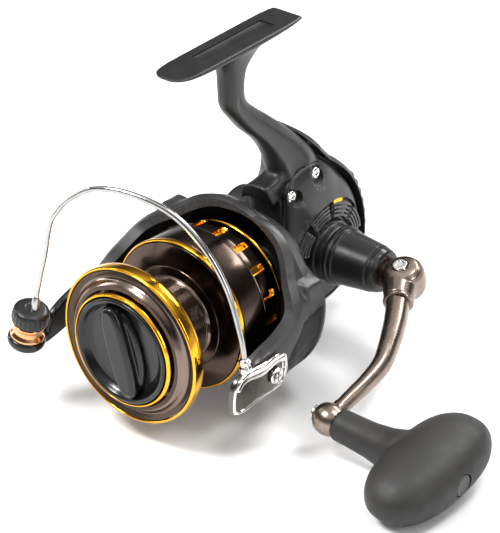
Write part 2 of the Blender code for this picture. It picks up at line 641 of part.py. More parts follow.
def away(t):
    """Smallest angle to either arm's middle, degrees."""
    best = 999.0
    for c, wide in ((R_ARM, 1.0), (L_ARM, 1.22)):
        d = (t - c + math.pi) % (2 * math.pi) - math.pi
        best = min(best, abs(math.degrees(d)) / wide)
    return best


def step01(x):
    x = max(0.0, min(1.0, x))
    return x * x * (3 - 2 * x)


def rotor_profile(t):
    d = away(t)
    b = step01((34.0 - d) / 24.0)                # outward swell of the arm root
    w = step01((95.0 - d) / 35.0)                # cup widens towards the arms
    f = step01((27.0 - d) / 7.5) * 0.22 + step01((19.5 - d) / 9.5) * 0.78
    yf = 0.6 - 34.0 * f                          # front edge
    k = max(w, b)
    out = [(16.9, 21.4), (18.6 + b * 1.6, 18.6), (21.4 + b * 3.0, 16.4 - b * 0.4),
           (24.4 + w * 1.8 + b * 6.6, 11.0), (28.2 + w * 3.6 + b * 6.2, 6.0)]
    inn = []
    for j in range(1, 5):
        s = j / 4
        y = 6.0 + (yf - 6.0) * s
        rim = 31.6 + 2.6 * w - 3.4 * max(0.0, (y - 0.6) / 5.4) * (1 - 0.3 * w)
        arm = 37.9 + 1.7 * step01((2.0 - y) / 16.0) - 0.8 * step01((-16.0 - y) / 18.0)
        thick = 2.3 + 1.0 * b * step01((4.0 - y) / 14.0)
        r = rim + (arm - rim) * b
        tip = 0.5 if j == 4 else 0.0
        out.append((r - tip, y))
        inn.append((r - thick + tip, y))
    return (out + inn[::-1]
            + [(26.2 + 2.6 * w, 5.4), (21.9 + 1.2 * k, 10.6), (18.6, 15.0), (8.0, 16.3),
               (7.2, 15.6), (7.2, 8.2), (4.0, 8.2), (4.0, 19.3), (14.6, 19.3), (15.2, 21.4)])


def rotor_angles():
    ts = []
    for i in range(360):
        d = away(math.radians(i))
        step = 6 if d < 29 else 10
        if i % step == 0:
            ts.append(math.radians(i))
    return ts


TS = rotor_angles()
rings = []
for t in TS:
    rings.append([(r * math.cos(t), y, AX_Z + r * math.sin(t)) for r, y in rotor_profile(t)])
rotor = rings_obj("rotor", rings, closed=True)

# arm ends: round bosses square to the pivot line
for sgn in (1, -1):
    ln = "arm_end"
    pts = oval(7.0, 7.0, 18)
    e = prism(ln, pts, PIV_O, U * sgn, 35.2, 39.4, (0, -1, 0), 0.6)
    boole(rotor, [e], "UNION")
for sgn in (1, -1):
    boole(rotor, [cyl("ph", 1.9, 30.0, 45.0, PIV_O, U * sgn, 12)])
finish(rotor, "rotor_grey", MAIN_O, 32)
finish(lathe("rotor_nut", [(3.6, 4.6), (5.6, 4.6), (6.3, 5.2), (6.3, 7.8), (3.6, 7.8)],
             MAIN_O, YAX, 6), "brass", MAIN_O)

# ---- bail ---------------------------------------------------------------
R_AX = N + 0.18 * U                              # line roller axis, leaning inwards
R_AX /= np.linalg.norm(R_AX)
ROLL = bail_pt(-41.0, 34.0, 8.2) - 10.6 * R_AX   # middle of the line roller
lever_pts = [(-9.0, 0.0), (-6.5, 5.2), (0.0, 6.8), (9.0, 5.8), (18.0, 3.4), (24.0, 0.2),
             (26.9, -4.8), (27.4, -6.3), (32.0, -6.6), (32.0, -9.6), (27.0, -11.2),
             (18.0, -9.8), (8.0, -7.4), (0.0, -6.8), (-6.5, -5.2)]
bail_arm = prism("bail_arm", lever_pts, PIV_O, -U, 39.8, 43.0, (0, -1, 0), 0.6)
cup = lathe("cup", [(0.0, -7.6), (4.6, -7.6), (6.6, -6.6), (7.0, -5.2), (6.6, -3.5), (6.2, -3.3),
                    (0.0, -3.3)], ROLL, R_AX, 20)
boole(bail_arm, [cup], "UNION")
boole(bail_arm, [cyl("lb", 1.9, 36.0, 46.0, PIV_O, -U, 12),
                 lathe("rb", [(0.0, -9.0), (2.7, -9.0), (2.7, -6.0), (1.4, -6.0), (1.4, -2.0),
                              (0.0, -2.0)], ROLL, R_AX, 12)])
finish(bail_arm, "black_gloss", PIV_O)
finish(screw("bail_screw_left", PIV_O - U * 43.3, -U, 3.2, 1.2, 1.6, 8.0), "chrome", PIV_O)

roller_prof = [(2.6, -3.0), (6.3, -3.0), (6.3, -2.3), (5.5, -1.2), (5.2, 0.0), (5.5, 1.2),
               (6.0, 2.1), (6.0, 2.8), (2.6, 2.8)]
finish(lathe("line_roller", roller_prof, ROLL, R_AX, 24), "copper", ROLL, 30)
finish(ringo("roller_bush", 1.5, 2.3, -3.0, 2.8, ROLL, R_AX, 12), "brass", PIV_O)
dome = lathe("roller_cap", [(0.0, 3.1), (5.8, 3.1), (6.2, 3.7), (6.2, 7.4), (5.6, 9.0), (3.9, 10.1),
                            (0.0, 10.6)], ROLL, R_AX, 22)
boole(dome, [cyl("db", 1.3, 1.0, 6.6, ROLL, R_AX, 12)])
finish(dome, "black_gloss", PIV_O, 30)
finish(lathe("roller_screw", [(0.0, 6.2), (1.1, 6.2), (1.1, -6.3), (2.4, -6.3), (2.4, -7.4),
                              (0.0, -7.4)], ROLL, R_AX, 10), "chrome", PIV_O)

WIRE = [(-40.2, 33.4, 8.6), (-39.4, 31.7, 20.1), (-38.7, 30.2, 28.5), (-38.3, 28.2, 40.2),
        (-36.3, 26.9, 45.7), (-32.1, 24.9, 51.9), (-23.5, 21.7, 58.1), (-10.6, 18.3, 59.9),
        (4.7, 14.9, 57.1), (16.9, 13.1, 49.4), (28.0, 12.4, 36.8), (36.1, 13.0, 20.2),
        (40.0, 14.0, 8.9)]                      # along, ahead of and above the pivot line
wire = tube("bail_wire", smooth_path([bail_pt(*q) for q in WIRE], per=2), 0.85, 8)
finish(wire, "chrome", PIV_O)

holder_pts = [(-7.0, 0.0), (-5.0, 5.2), (0.0, 6.6), (8.0, 6.4), (17.0, 7.4), (22.0, 6.2),
              (23.2, 2.0), (22.4, -4.6), (18.0, -8.0), (9.0, -7.6), (0.0, -6.8), (-5.0, -5.2)]
holder = prism("bail_holder", holder_pts, PIV_O, U, 39.8, 42.6, (0, -1, 0), 0.6)
boole(holder, [cyl("hb", 1.9, 36.0, 46.0, PIV_O, U, 12)])
finish(holder, "plate_grey", PIV_O)
finish(screw("bail_screw_right", PIV_O + U * 42.9, U, 3.2, 1.2, 1.6, 8.0), "chrome", PIV_O)

# ---- handle -------------------------------------------------------------
finish(lathe("handle_cone", [(3.2, 13.8), (11.3, 13.8), (11.5, 14.2), (11.5, 15.2), (10.7, 15.7),
                             (10.7, 16.3), (11.2, 16.7), (11.0, 17.4), (10.5, 17.8), (9.1, 31.0),
                             (8.8, 31.3), (8.4, 31.5), (8.4, 32.3), (8.7, 32.6), (8.0, 34.6),
                             (7.2, 35.1), (3.2, 35.1)], HAND_O, XAX, 24), "black_gloss", HAND_O)

boss = lathe("handle_arm", [(0.0, -6.9), (4.6, -6.9), (6.2, -6.0), (7.1, -3.6), (7.3, 0.0),
                            (7.1, 3.6), (6.2, 6.0), (4.6, 6.9), (0.0, 6.9)], BOSS, ARM_P, 20)
XU = np.array(XAX)


def arm_pt(l, x):
    return BOSS + ARM_W * l + XU * x


BALL = arm_pt(BALL_L, BALL_X)
apath = smooth_path([arm_pt(2.0, 0.6), arm_pt(10.9, 5.5), arm_pt(20.0, 10.6), arm_pt(31.0, 15.5),
                     arm_pt(39.0, 18.2), arm_pt(48.0, 18.7), arm_pt(59.0, BALL_X + 0.6),
                     arm_pt(BALL_L - 2.6, BALL_X)], per=2)


def arm_r(s):
    return (4.5 - 1.6 * s, 4.3 - 1.8 * s)


arm_tube = tube("at", apath, arm_r, 10, ARM_P)
neck = lathe("nk", [(0.0, -2.4), (5.3, -2.4), (5.7, -1.6), (5.7, 0.2), (5.2, 0.9), (0.0, 0.9)],
             arm_pt(10.4, 5.3), arm_pt(20.0, 10.6) - arm_pt(2.0, 0.6), 16)
ball = lathe("bl", [(0.0, -5.3), (3.3, -5.3), (5.0, -4.1), (5.8, -2.2), (6.0, 0.0), (5.8, 2.2),
                    (5.0, 3.9), (0.0, 3.9)], BALL, KNOB_AX, 18)
shaft = cyl("sh", 2.8, 13.0 - 42.8, 0.0, BOSS, XAX, 24, 0.4)
boole(boss, [arm_tube, neck, ball, shaft], "UNION")
boole(boss, [cyl("kh", 2.0, -7.0, 7.0, BALL, KNOB_AX, 16),
             cyl("ph", 3.3, 5.6, 8.0, BOSS, ARM_P, 16)])
finish(boss, "bronze", HAND_O, 32)
finish(lathe("fold_pin", [(0.0, 5.9), (3.0, 5.9), (3.0, 7.0), (2.6, 7.5), (0.0, 7.6)], BOSS, ARM_P,
             16), "chrome", HAND_O)

KN0 = 4.2                                         # knob starts this far past the crank end
finish(lathe("knob_axle", [(0.0, -5.8), (2.9, -5.8), (2.9, -5.0), (1.9, -5.0), (1.9, 40.5),
                           (1.6, 40.9), (0.0, 40.9)], BALL - KNOB_AX * 0.6, KNOB_AX, 12),
       "steel", HAND_O)
BAR_DIR = np.array([0.0, math.cos(math.radians(6.0)), math.sin(math.radians(6.0))])
stem_k = lathe("handle_knob", [(0.0, KN0), (5.4, KN0), (5.9, KN0 + 0.6), (6.0, 10.0), (6.4, 18.0),
                               (7.4, 25.0), (9.0, 30.0), (9.0, 34.0), (0.0, 34.0)], BALL, KNOB_AX, 18)
bar_rings = []
KC = BALL + KNOB_AX * 43.0
side = np.cross(KNOB_AX, BAR_DIR)
for i in range(13):
    s = -math.cos(math.pi * i / 12)
    e = (1 - abs(s) ** 2.6) ** (1 / 2.2)
    e = max(e, 0.16)
    w = 29.0 * s
    rx, rz = 15.2 * e, 11.2 * e
    bar_rings.append([KC + BAR_DIR * w + KNOB_AX * rx * cx + side * rz * cy
                      for cx, cy in oval(1.0, 1.0, 18, 2.3)])
bar_k = rings_obj("bk", bar_rings)
boole(stem_k, [bar_k], "UNION")
boole(stem_k, [lathe("kb", [(0.0, 0.0), (4.3, 0.0), (4.3, 8.4), (2.0, 8.4), (2.0, 38.0),
                            (4.3, 38.0), (4.3, 64.0), (0.0, 64.0)], BALL, KNOB_AX, 18)])
finish(stem_k, "knob_rubber", BALL, 40)
finish(ringo("knob_bearing_inner", 2.0, 4.0, 4.6, 8.0, BALL, KNOB_AX, 18), "steel", BALL)
finish(ringo("knob_bearing_outer", 2.0, 4.0, 38.4, 41.4, BALL, KNOB_AX, 18), "steel", BALL)
finish(lathe("knob_cap", [(0.0, 54.6), (4.0, 54.6), (4.0, 57.4), (3.4, 57.9), (0.0, 57.9)], BALL,
             KNOB_AX, 16), "knob_rubber", BALL)
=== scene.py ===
"""Looks for the spinning reel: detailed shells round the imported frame. Lengths are in mm."""
import math

import bmesh
import bpy
import numpy as np
from mathutils import Matrix, Vector


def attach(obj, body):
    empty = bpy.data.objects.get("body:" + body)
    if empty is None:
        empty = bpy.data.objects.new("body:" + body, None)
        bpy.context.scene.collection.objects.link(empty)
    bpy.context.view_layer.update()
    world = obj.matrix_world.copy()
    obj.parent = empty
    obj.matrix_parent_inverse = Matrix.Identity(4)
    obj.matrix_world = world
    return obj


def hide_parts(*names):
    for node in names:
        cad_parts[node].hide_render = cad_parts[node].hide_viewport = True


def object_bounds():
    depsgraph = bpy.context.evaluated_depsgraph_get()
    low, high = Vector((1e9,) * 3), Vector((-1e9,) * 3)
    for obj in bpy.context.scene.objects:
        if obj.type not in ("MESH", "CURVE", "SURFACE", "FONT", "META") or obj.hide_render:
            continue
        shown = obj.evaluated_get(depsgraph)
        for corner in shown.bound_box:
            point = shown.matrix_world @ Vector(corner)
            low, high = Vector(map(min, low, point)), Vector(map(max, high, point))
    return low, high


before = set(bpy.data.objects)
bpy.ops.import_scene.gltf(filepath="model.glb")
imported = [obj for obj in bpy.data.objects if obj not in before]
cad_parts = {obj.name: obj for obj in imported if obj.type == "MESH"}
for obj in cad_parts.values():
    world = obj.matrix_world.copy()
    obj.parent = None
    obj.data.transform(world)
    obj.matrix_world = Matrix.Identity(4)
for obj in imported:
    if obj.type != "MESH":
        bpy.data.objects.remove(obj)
CAD_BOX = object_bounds()

MM = 0.001
AX_Z = -95.3  # main shaft axis, along Y
HY, HZ = 46.0, -99.9  # crank axis, along X
PHI = math.radians(-4.0)  # tilt of the bail pivot line
U = np.array([math.cos(PHI), 0.0, math.sin(PHI)])
N = np.array([-math.sin(PHI), 0.0, math.cos(PHI)])
PIV_O = np.array([0.0, -28.0, AX_Z]) - 7.0 * N
MAIN_O = np.array([0.0, 0.0, AX_Z])
HAND_O = np.array([0.0, HY, HZ])
XA = np.array([1.0, 0.0, 0.0])
YA = np.array([0.0, 1.0, 0.0])
ARM_W = np.array([0.0, -0.9555, -0.2958])  # crank arm direction
ARM_P = np.array([0.0, -0.2958, 0.9555])  # crank boss pin direction
BOSS = np.array([42.8, HY, HZ])
BALL = BOSS + ARM_W * 69.5 + XA * 17.2
KNOB_AX = np.array([0.9976, 0.0, -0.0698])
SEGS = 128  # round pieces
VOXEL_BODY = 0.42  # skin of the case


# ---- shader helpers --------
class Mat:
    """Small wrapper that builds a procedural Principled material."""

    def __init__(self, name, rgb, rough, metal, **sockets):
        self.m = bpy.data.materials.new(name)
        self.m.use_nodes = True
        self.nt = self.m.node_tree
        self.b = self.nt.nodes["Principled BSDF"]
        self.b.inputs["Base Color"].default_value = (*rgb, 1.0)
        self.b.inputs["Roughness"].default_value = rough
        self.b.inputs["Metallic"].default_value = metal
        self.rgb, self.rough = rgb, rough
        for key, value in sockets.items():
            self.b.inputs[key.replace("_", " ")].default_value = value
        self.co = self.node("ShaderNodeTexCoord").outputs["Object"]
        self.normal = None

    def node(self, kind, **inputs):
        n = self.nt.nodes.new(kind)
        for key, value in inputs.items():
            n.inputs[key.replace("_", " ")].default_value = value
        return n

    def link(self, a, b):
        self.nt.links.new(a, b)

    def noise(self, scale, detail=3.0, rough=0.5, stretch=None):
        n = self.node("ShaderNodeTexNoise", Scale=scale, Detail=detail, Roughness=rough)
        if stretch is None:
            self.link(self.co, n.inputs["Vector"])
        else:
            mp = self.node("ShaderNodeMapping")
            mp.inputs["Scale"].default_value = stretch
            self.link(self.co, mp.inputs["Vector"])
            self.link(mp.outputs["Vector"], n.inputs["Vector"])
        return n.outputs["Fac"]

    def ramp(self, fac, stops):
        n = self.node("ShaderNodeValToRGB")
        el = n.color_ramp.elements
        while len(el) < len(stops):
            el.new(0.5)
        for e, (pos, col) in zip(el, stops):
            e.position = pos
            e.color = (*col, 1.0)
        self.link(fac, n.inputs["Fac"])
        return n.outputs["Color"]

    def tint(self, fac, spread=0.12, edge=None, edge_rub_highlight_rgb=None):
        """Base colour varies by noise; convex edges may show a lighter second colour in noisy patches,
        part rub and part painted highlight.
        """
        lo = tuple(c * (1 - spread) for c in self.rgb)
        hi = tuple(min(1.0, c * (1 + spread)) for c in self.rgb)
        col = self.ramp(fac, [(0.3, lo), (0.7, hi)])
        if edge is not None:
            # lighter colour on convex edges, masked by noise: part rub, part painted highlight
            geo = self.node("ShaderNodeNewGeometry")
            k = self.ramp(geo.outputs["Pointiness"], [(edge, (0, 0, 0)), (edge + 0.06, (1, 1, 1))])
            rub_highlight_patches = self.ramp(self.noise(900.0, 4.0, 0.7), [(0.42, (0, 0, 0)), (0.62, (1, 1, 1))])
            mul = self.node("ShaderNodeMix")
            mul.data_type = "RGBA"
            mul.blend_type = "MULTIPLY"
            mul.inputs[0].default_value = 1.0
            self.link(k, mul.inputs[6])
            self.link(rub_highlight_patches, mul.inputs[7])
            mix = self.node("ShaderNodeMix")
            mix.data_type = "RGBA"
            self.link(mul.outputs[2], mix.inputs[0])
            self.link(col, mix.inputs[6])
            mix.inputs[7].default_value = (*edge_rub_highlight_rgb, 1.0)
            col = mix.outputs[2]
        self.link(col, self.b.inputs["Base Color"])

    def vary_rough(self, fac, spread=0.08):
        mr = self.node("ShaderNodeMapRange", From_Min=0.3, From_Max=0.7)
        mr.inputs["To Min"].default_value = max(0.02, self.rough - spread)
        mr.inputs["To Max"].default_value = min(1.0, self.rough + spread)
        self.link(fac, mr.inputs["Value"])
        self.link(mr.outputs["Result"], self.b.inputs["Roughness"])

    def bump(self, fac, strength, distance):
        n = self.node("ShaderNodeBump", Strength=strength, Distance=distance)
        self.link(fac, n.inputs["Height"])
        if self.normal is not None:
            self.link(self.normal, n.inputs["Normal"])
        self.normal = n.outputs["Normal"]
        self.link(self.normal, self.b.inputs["Normal"])


def painted(name, rgb, rough, grain=1.0, edge_rub_highlight_rgb=None):
    """Satin paint: fine orange peel, faint blotches, light rub and painted highlight on the edges."""
    m = Mat(name, rgb, rough, 0.0, Specular_IOR_Level=0.45)
    m.tint(m.noise(55.0, 4.0), 0.14, 0.56 if edge_rub_highlight_rgb else None, edge_rub_highlight_rgb)
    m.vary_rough(m.noise(120.0, 3.0), 0.06)
    m.bump(m.noise(2600.0, 2.0), 0.10 * grain, 0.00006)
    m.bump(m.noise(700.0, 3.0), 0.08 * grain, 0.00012)
    return m.m


def anodised(name, rgb, rough, streak=(1.0, 14.0, 1.0), bump=0.05):
    """Turned and anodised metal: fine streaks and soft smudges."""
    m = Mat(name, rgb, rough, 1.0)
    m.tint(m.noise(90.0, 4.0, 0.6, streak), 0.12)
    m.vary_rough(m.noise(160.0, 3.0), 0.05)
    m.bump(m.noise(1500.0, 2.0, 0.5, streak), bump, 0.00004)
    return m.m


def moulded(name, rgb, rough, scale=1400.0, strength=0.25, spec=0.4):
    """Rubber or plastic with a fine moulded texture."""
    m = Mat(name, rgb, rough, 0.0, Specular_IOR_Level=spec)
    m.tint(m.noise(60.0, 4.0), 0.12)
    m.vary_rough(m.noise(200.0, 3.0), 0.07)
    m.bump(m.noise(scale, 2.0), strength, 0.00008)
    return m.m


def felt_mat(name, rgb):
    m = Mat(name, rgb, 0.95, 0.0, Sheen_Weight=0.4)
    m.tint(m.noise(900.0, 4.0), 0.25)
    m.bump(m.noise(3000.0, 3.0, 0.7), 0.6, 0.0002)
    return m.m


MATS = {
    # the last colour of each painted material is its lighter edge colour: rub on convex edges, partly
    # painted highlight
    "black_body": painted("paint_charcoal", (0.0100, 0.0096, 0.0095), 0.40, 1.0, (0.08, 0.08, 0.08)),
    "black_gloss": painted("gloss_black", (0.006, 0.006, 0.0065), 0.20, 0.5, (0.07, 0.07, 0.07)),
    "cone_black": painted("satin_black", (0.0065, 0.0063, 0.0062), 0.33, 0.8, (0.07, 0.07, 0.07)),
    "rotor_grey": painted("paint_rotor", (0.0230, 0.0230, 0.0235), 0.38, 1.0, (0.12, 0.12, 0.12)),
    # the light edge colour here is mostly painted highlight along the rib edges of the gear cap, with a
    # little rub
    "rib_grey": painted("cap_plastic", (0.050, 0.052, 0.055), 0.24, 0.5, (0.30, 0.31, 0.32)),
    # near-black: painted shade, laid in the recess of each rotor arm
    "recess_painted_shade": moulded("recess_painted_shade", (0.0035, 0.0034, 0.0034), 0.55, 1500.0, 0.12, 0.18),
    "bumper": moulded("bumper_plastic", (0.020, 0.020, 0.021), 0.33, 1200.0, 0.12, 0.5),
    "knob_rubber": moulded("grip_rubber", (0.0185, 0.0175, 0.0165), 0.56, 1500.0, 0.32),
    "cap_rubber": moulded("cap_rubber", (0.050, 0.048, 0.047), 0.5, 1800.0, 0.2),
    "gold": anodised("gold_anodised", (0.92, 0.44, 0.03), 0.14),
    "gunmetal": anodised("bronze_dark", (0.076, 0.055, 0.044), 0.17),
    "gunmetal_lip": anodised("bronze_lip", (0.20, 0.15, 0.125), 0.18),
    "bronze": anodised("champagne", (0.255, 0.200, 0.165), 0.27, (6.0, 1.0, 1.0)),
    "chrome": anodised("chrome_plate", (0.80, 0.79, 0.77), 0.07, (3.0, 3.0, 3.0), 0.02),
    "chrome_wire": anodised("polished_wire", (0.46, 0.46, 0.45), 0.17, (3.0, 3.0, 3.0), 0.02),
    "copper": anodised("roller_copper", (0.70, 0.38, 0.18), 0.15),
    "steel": anodised("ground_steel", (0.56, 0.56, 0.57), 0.26),
    "brass": anodised("brass_cut", (0.72, 0.53, 0.22), 0.28),
    "alloy": anodised("alloy_cut", (0.50, 0.50, 0.51), 0.36),
    "plate_grey": anodised("plate_dark", (0.125, 0.122, 0.105), 0.24),
    "felt": felt_mat("felt_grey", (0.30, 0.27, 0.22)),
}


# ---- mesh helpers --------
def unit(v):
    v = np.asarray(v, float)
    return v / np.linalg.norm(v)


def frame_for(axis):
    """Two directions across an axis, and the axis itself, all of length 1."""
    k = unit(axis)
    ref = np.array([0.0, 0.0, 1.0]) if abs(k[2]) < 0.9 else XA
    a = unit(np.cross(ref, k))
    return a, np.cross(k, a), k


def mesh_obj(name, verts, faces):
    me = bpy.data.meshes.new(name)
    me.from_pydata([tuple(np.asarray(v, float) * MM) for v in verts], [], faces)
    bm = bmesh.new()
    bm.from_mesh(me)
    bmesh.ops.remove_doubles(bm, verts=bm.verts, dist=1e-7)
    bmesh.ops.recalc_face_normals(bm, faces=bm.faces)
    bm.to_mesh(me)
    bm.free()
    ob = bpy.data.objects.new(name, me)
    bpy.context.scene.collection.objects.link(ob)
    return ob


def loft(name, rings, closed=False):
    """Loft equal rings; an open loft is capped at both ends."""
    n, m = len(rings[0]), len(rings)
    verts = [p for ring in rings for p in ring]
    faces = []
    for i in range(m if closed else m - 1):
        a, b = i * n, ((i + 1) % m) * n
        for j in range(n):
            k = (j + 1) % n
            faces.append((a + j, a + k, b + k, b + j))
    if not closed:
        faces.append(tuple(range(n)))
        faces.append(tuple(range((m - 1) * n, m * n)))
    return mesh_obj(name, verts, faces)


def rounded(profile, radius=0.3, steps=3):
    """The corners of an (r, h) profile cut back and rounded; points on the axis stay."""
    out = []
    m = len(profile)
    for i in range(m):
        p = np.array(profile[i], float)
        a, b = np.array(profile[i - 1], float), np.array(profile[(i + 1) % m], float)
        da, db = np.linalg.norm(a - p), np.linalg.norm(b - p)
        if p[0] < 1e-6 or da < 1e-6 or db < 1e-6:
            out.append(tuple(p))
            continue
        bend = abs(np.cross(unit(a - p), unit(b - p)))
        if bend < 0.15:
            out.append(tuple(p))
            continue
        q = min(radius, da * 0.45, db * 0.45)
        s, e = p + (a - p) / da * q, p + (b - p) / db * q
        for k in range(steps + 1):
            t = k / steps
            out.append(tuple((1 - t) ** 2 * s + 2 * t * (1 - t) * p + t * t * e))
    return out


def lathe(name, profile, origin, axis, segs=SEGS, soft=0.25, wobble=None):
    """Turn (radius, along) points round an axis; wobble(t, r, h) may change a radius."""
    a, b, k = frame_for(axis)
    prof = rounded(profile, soft) if soft else profile
    origin = np.asarray(origin, float)
    solid = prof[0][0] < 1e-6
    verts, faces, idx = [], [], []
    for r, h in prof:
        if r < 1e-6:
            idx.append([len(verts)] * segs)
            verts.append(origin + k * h)
            continue
        row = []
        for j in range(segs):
            t = 2 * math.pi * j / segs
            rr = r if wobble is None else wobble(t, r, h)
            row.append(len(verts))
            verts.append(origin + k * h + rr * (math.cos(t) * a + math.sin(t) * b))
        idx.append(row)
    m = len(prof)
    for i in range(m - 1 if solid else m):
        p, q = idx[i], idx[(i + 1) % m]
        for j in range(segs):
            l = (j + 1) % segs
            f = []
            for v in (p[j], p[l], q[l], q[j]):
                if v not in f:
                    f.append(v)
            if len(f) > 2:
                faces.append(tuple(f))
    return mesh_obj(name, verts, faces)


def oval(rx, ry, n=48, p=2.0):
    """Ellipse for p = 2, nearer a rounded box for a higher p."""
    out = []
    for j in range(n):
        t = 2 * math.pi * j / n
        c, s = math.cos(t), math.sin(t)
        out.append((rx * math.copysign(abs(c) ** (2 / p), c),
                    ry * math.copysign(abs(s) ** (2 / p), s)))
    return out


def smooth_path(points, per=8, closed=False):
    """Catmull-Rom curve through the points."""
    p = [np.asarray(q, float) for q in points]
    p = [p[-1]] + p + p[:2] if closed else [2 * p[0] - p[1]] + p + [2 * p[-1] - p[-2]]
    out = []
    for i in range(1, len(p) - 2):
        for s in range(per):
            t = s / per
            out.append(0.5 * (2 * p[i] + (p[i + 1] - p[i - 1]) * t
                              + (2 * p[i - 1] - 5 * p[i] + 4 * p[i + 1] - p[i + 2]) * t * t
                              + (3 * p[i] - p[i - 1] - 3 * p[i + 1] + p[i + 2]) * t ** 3))
    if not closed:
        out.append(p[-2])
    return out


def tube(name, path, radius, segs=20, up=None, round_ends=False, closed=False):
    """Sweep an oval section; radius is a number, a pair, or a function of 0..1."""
    path = [np.asarray(q, float) for q in path]
    m = len(path)
    rings, prev = [], up
    for i, q in enumerate(path):
        ahead, behind = (path[(i + 1) % m], path[i - 1]) if closed else (
            path[min(i + 1, m - 1)], path[max(i - 1, 0)])
        t = unit(ahead - behind)
        a = frame_for(t)[0] if prev is None else np.asarray(prev, float)
        a = unit(a - t * (a @ t))
        prev = a
        b = np.cross(t, a)
        r = radius(i / (m - 1)) if callable(radius) else radius
        rx, ry = r if isinstance(r, tuple) else (r, r)
        ring = [q + rx * math.cos(2 * math.pi * j / segs) * a
                + ry * math.sin(2 * math.pi * j / segs) * b for j in range(segs)]
        if round_ends and i in (0, m - 1):
            d = -t if i == 0 else t
            cap = [q + d * rx * 0.55 + (v - q) * 0.55 for v in ring]
            rings.extend([cap, ring] if i == 0 else [ring, cap])
        else:
            rings.append(ring)
    return loft(name, rings, closed)


def plate(name, outline, origin, ea, eb, h0, h1, soft=0.5):
    """Flat plate from a closed outline in (ea, eb), rounded round its rim."""
    o, a, b = np.asarray(origin, float), np.asarray(ea, float), np.asarray(eb, float)
    k = np.cross(a, b)
    pts = np.array([np.asarray(q, float) for q in outline])
    d = np.roll(pts, -1, 0) - np.roll(pts, 1, 0)
    nrm = np.stack([d[:, 1], -d[:, 0]], 1) / np.linalg.norm(d, axis=1)[:, None]
    area = 0.5 * np.sum(pts[:, 0] * np.roll(pts[:, 1], -1) - np.roll(pts[:, 0], -1) * pts[:, 1])
    nrm = nrm if area > 0 else -nrm
    rings = []
    steps = [0.0, 0.15, 0.5, 1.0]
    levels = [(h0 + soft * s, soft * (1 - math.sin(math.pi / 2 * s))) for s in steps]
    levels += [(h1 - soft * s, soft * (1 - math.sin(math.pi / 2 * s))) for s in steps[::-1]]
    for h, inset in levels:
        q = pts - nrm * inset
        rings.append([o + a * u + b * v + k * h for u, v in q])
    return loft(name, rings)


def join(obs, name):
    bm = bmesh.new()
    for ob in obs:
        bm.from_mesh(ob.data)
        bpy.data.objects.remove(ob, do_unlink=True)
    me = bpy.data.meshes.new(name)
    bm.to_mesh(me)
    bm.free()
    new = bpy.data.objects.new(name, me)
    bpy.context.scene.collection.objects.link(new)
    return new


def bake(ob):
    """Make the modifiers real."""
    dg = bpy.context.evaluated_depsgraph_get()
    me = bpy.data.meshes.new_from_object(ob.evaluated_get(dg))
    ob.modifiers.clear()
    ob.data = me
    return ob


def cut(ob, cutters, op="DIFFERENCE"):
    """Cut solids away from ob, or join them on with op UNION."""
    for c in cutters:
        md = ob.modifiers.new("cut", "BOOLEAN")
        md.solver = "MANIFOLD"
        md.operation = op
        md.object = c
        bake(ob)
        bpy.data.objects.remove(c, do_unlink=True)
    return ob


def bore(ob, profile, origin, axis, segs=64):
    """Cut a turned hole."""
    return cut(ob, [lathe("bore", profile, origin, axis, segs, 0)])


def fuse(obs, name, voxel, smooth=6):
    """One skin over overlapping solids, with softened joins."""
    ob = join(obs, name)
    md = ob.modifiers.new("skin", "REMESH")
    md.mode = "VOXEL"
    md.voxel_size = voxel * MM
    sm = ob.modifiers.new("soft", "SMOOTH")
    sm.factor, sm.iterations = 0.5, smooth
    return bake(ob)


def block(name, lo, hi):
    """Box between two opposite corners."""
    v = [(x, y, z) for x in (lo[0], hi[0]) for y in (lo[1], hi[1]) for z in (lo[2], hi[2])]
    f = [(0, 1, 3, 2), (4, 6, 7, 5), (0, 4, 5, 1), (2, 3, 7, 6), (0, 2, 6, 4), (1, 5, 7, 3)]
    return mesh_obj(name, v, f)


def piece(ob, mat, body, nodes=(), sharp=32.0):
    """Material, shading, body and the CAD nodes it stands for."""
    ob.data.materials.clear()
    ob.data.materials.append(MATS[mat])
    for p in ob.data.polygons:
        p.use_smooth = True
    if sharp:
        ob.data.set_sharp_from_angle(angle=math.radians(sharp))
    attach(ob, body)
    if nodes:
        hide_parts(*nodes)
    return ob


# ---- body housing, foot and stem --------
SIDE = [(18.4, -70.6), (16.4, -67.2), (14.4, -64.0), (15.2, -62.5), (18.6, -62.0), (22.0, -60.8),
        (25.4, -57.8), (30.0, -56.4), (37.0, -57.0), (44.5, -61.2), (54.0, -68.6), (61.3, -76.8),
        (66.5, -86.4), (69.0, -97.0), (68.4, -107.0), (64.6, -115.8), (57.5, -121.8),
        (48.0, -124.4), (38.0, -123.8), (29.4, -121.6), (23.4, -117.4), (22.3, -110.0),
        (22.3, -73.0)]  # side outline of the case: y, z
CASE_MID = np.array([44.0, -92.0])
BODY_X1 = 4.6  # joint face between the case and its cover
LEVELS = [(-13.5, -5.0, -80.0, 20.0), (-12.5, -2.6, -76.0, 18.0), (-10.5, -0.8, -71.5, 15.0),
          (-7.5, 0.0, -66.5, 10.0), (-5.0, 0.0, -62.0, 10.0), (-2.4, 0.0, -58.0, 10.0),
          (0.5, 0.0, -50.0, 10.0), (2.6, 0.0, -50.0, 10.0),
          (BODY_X1, -0.8, -50.0, 10.0)]  # x, growth, highest z, furthest forward y
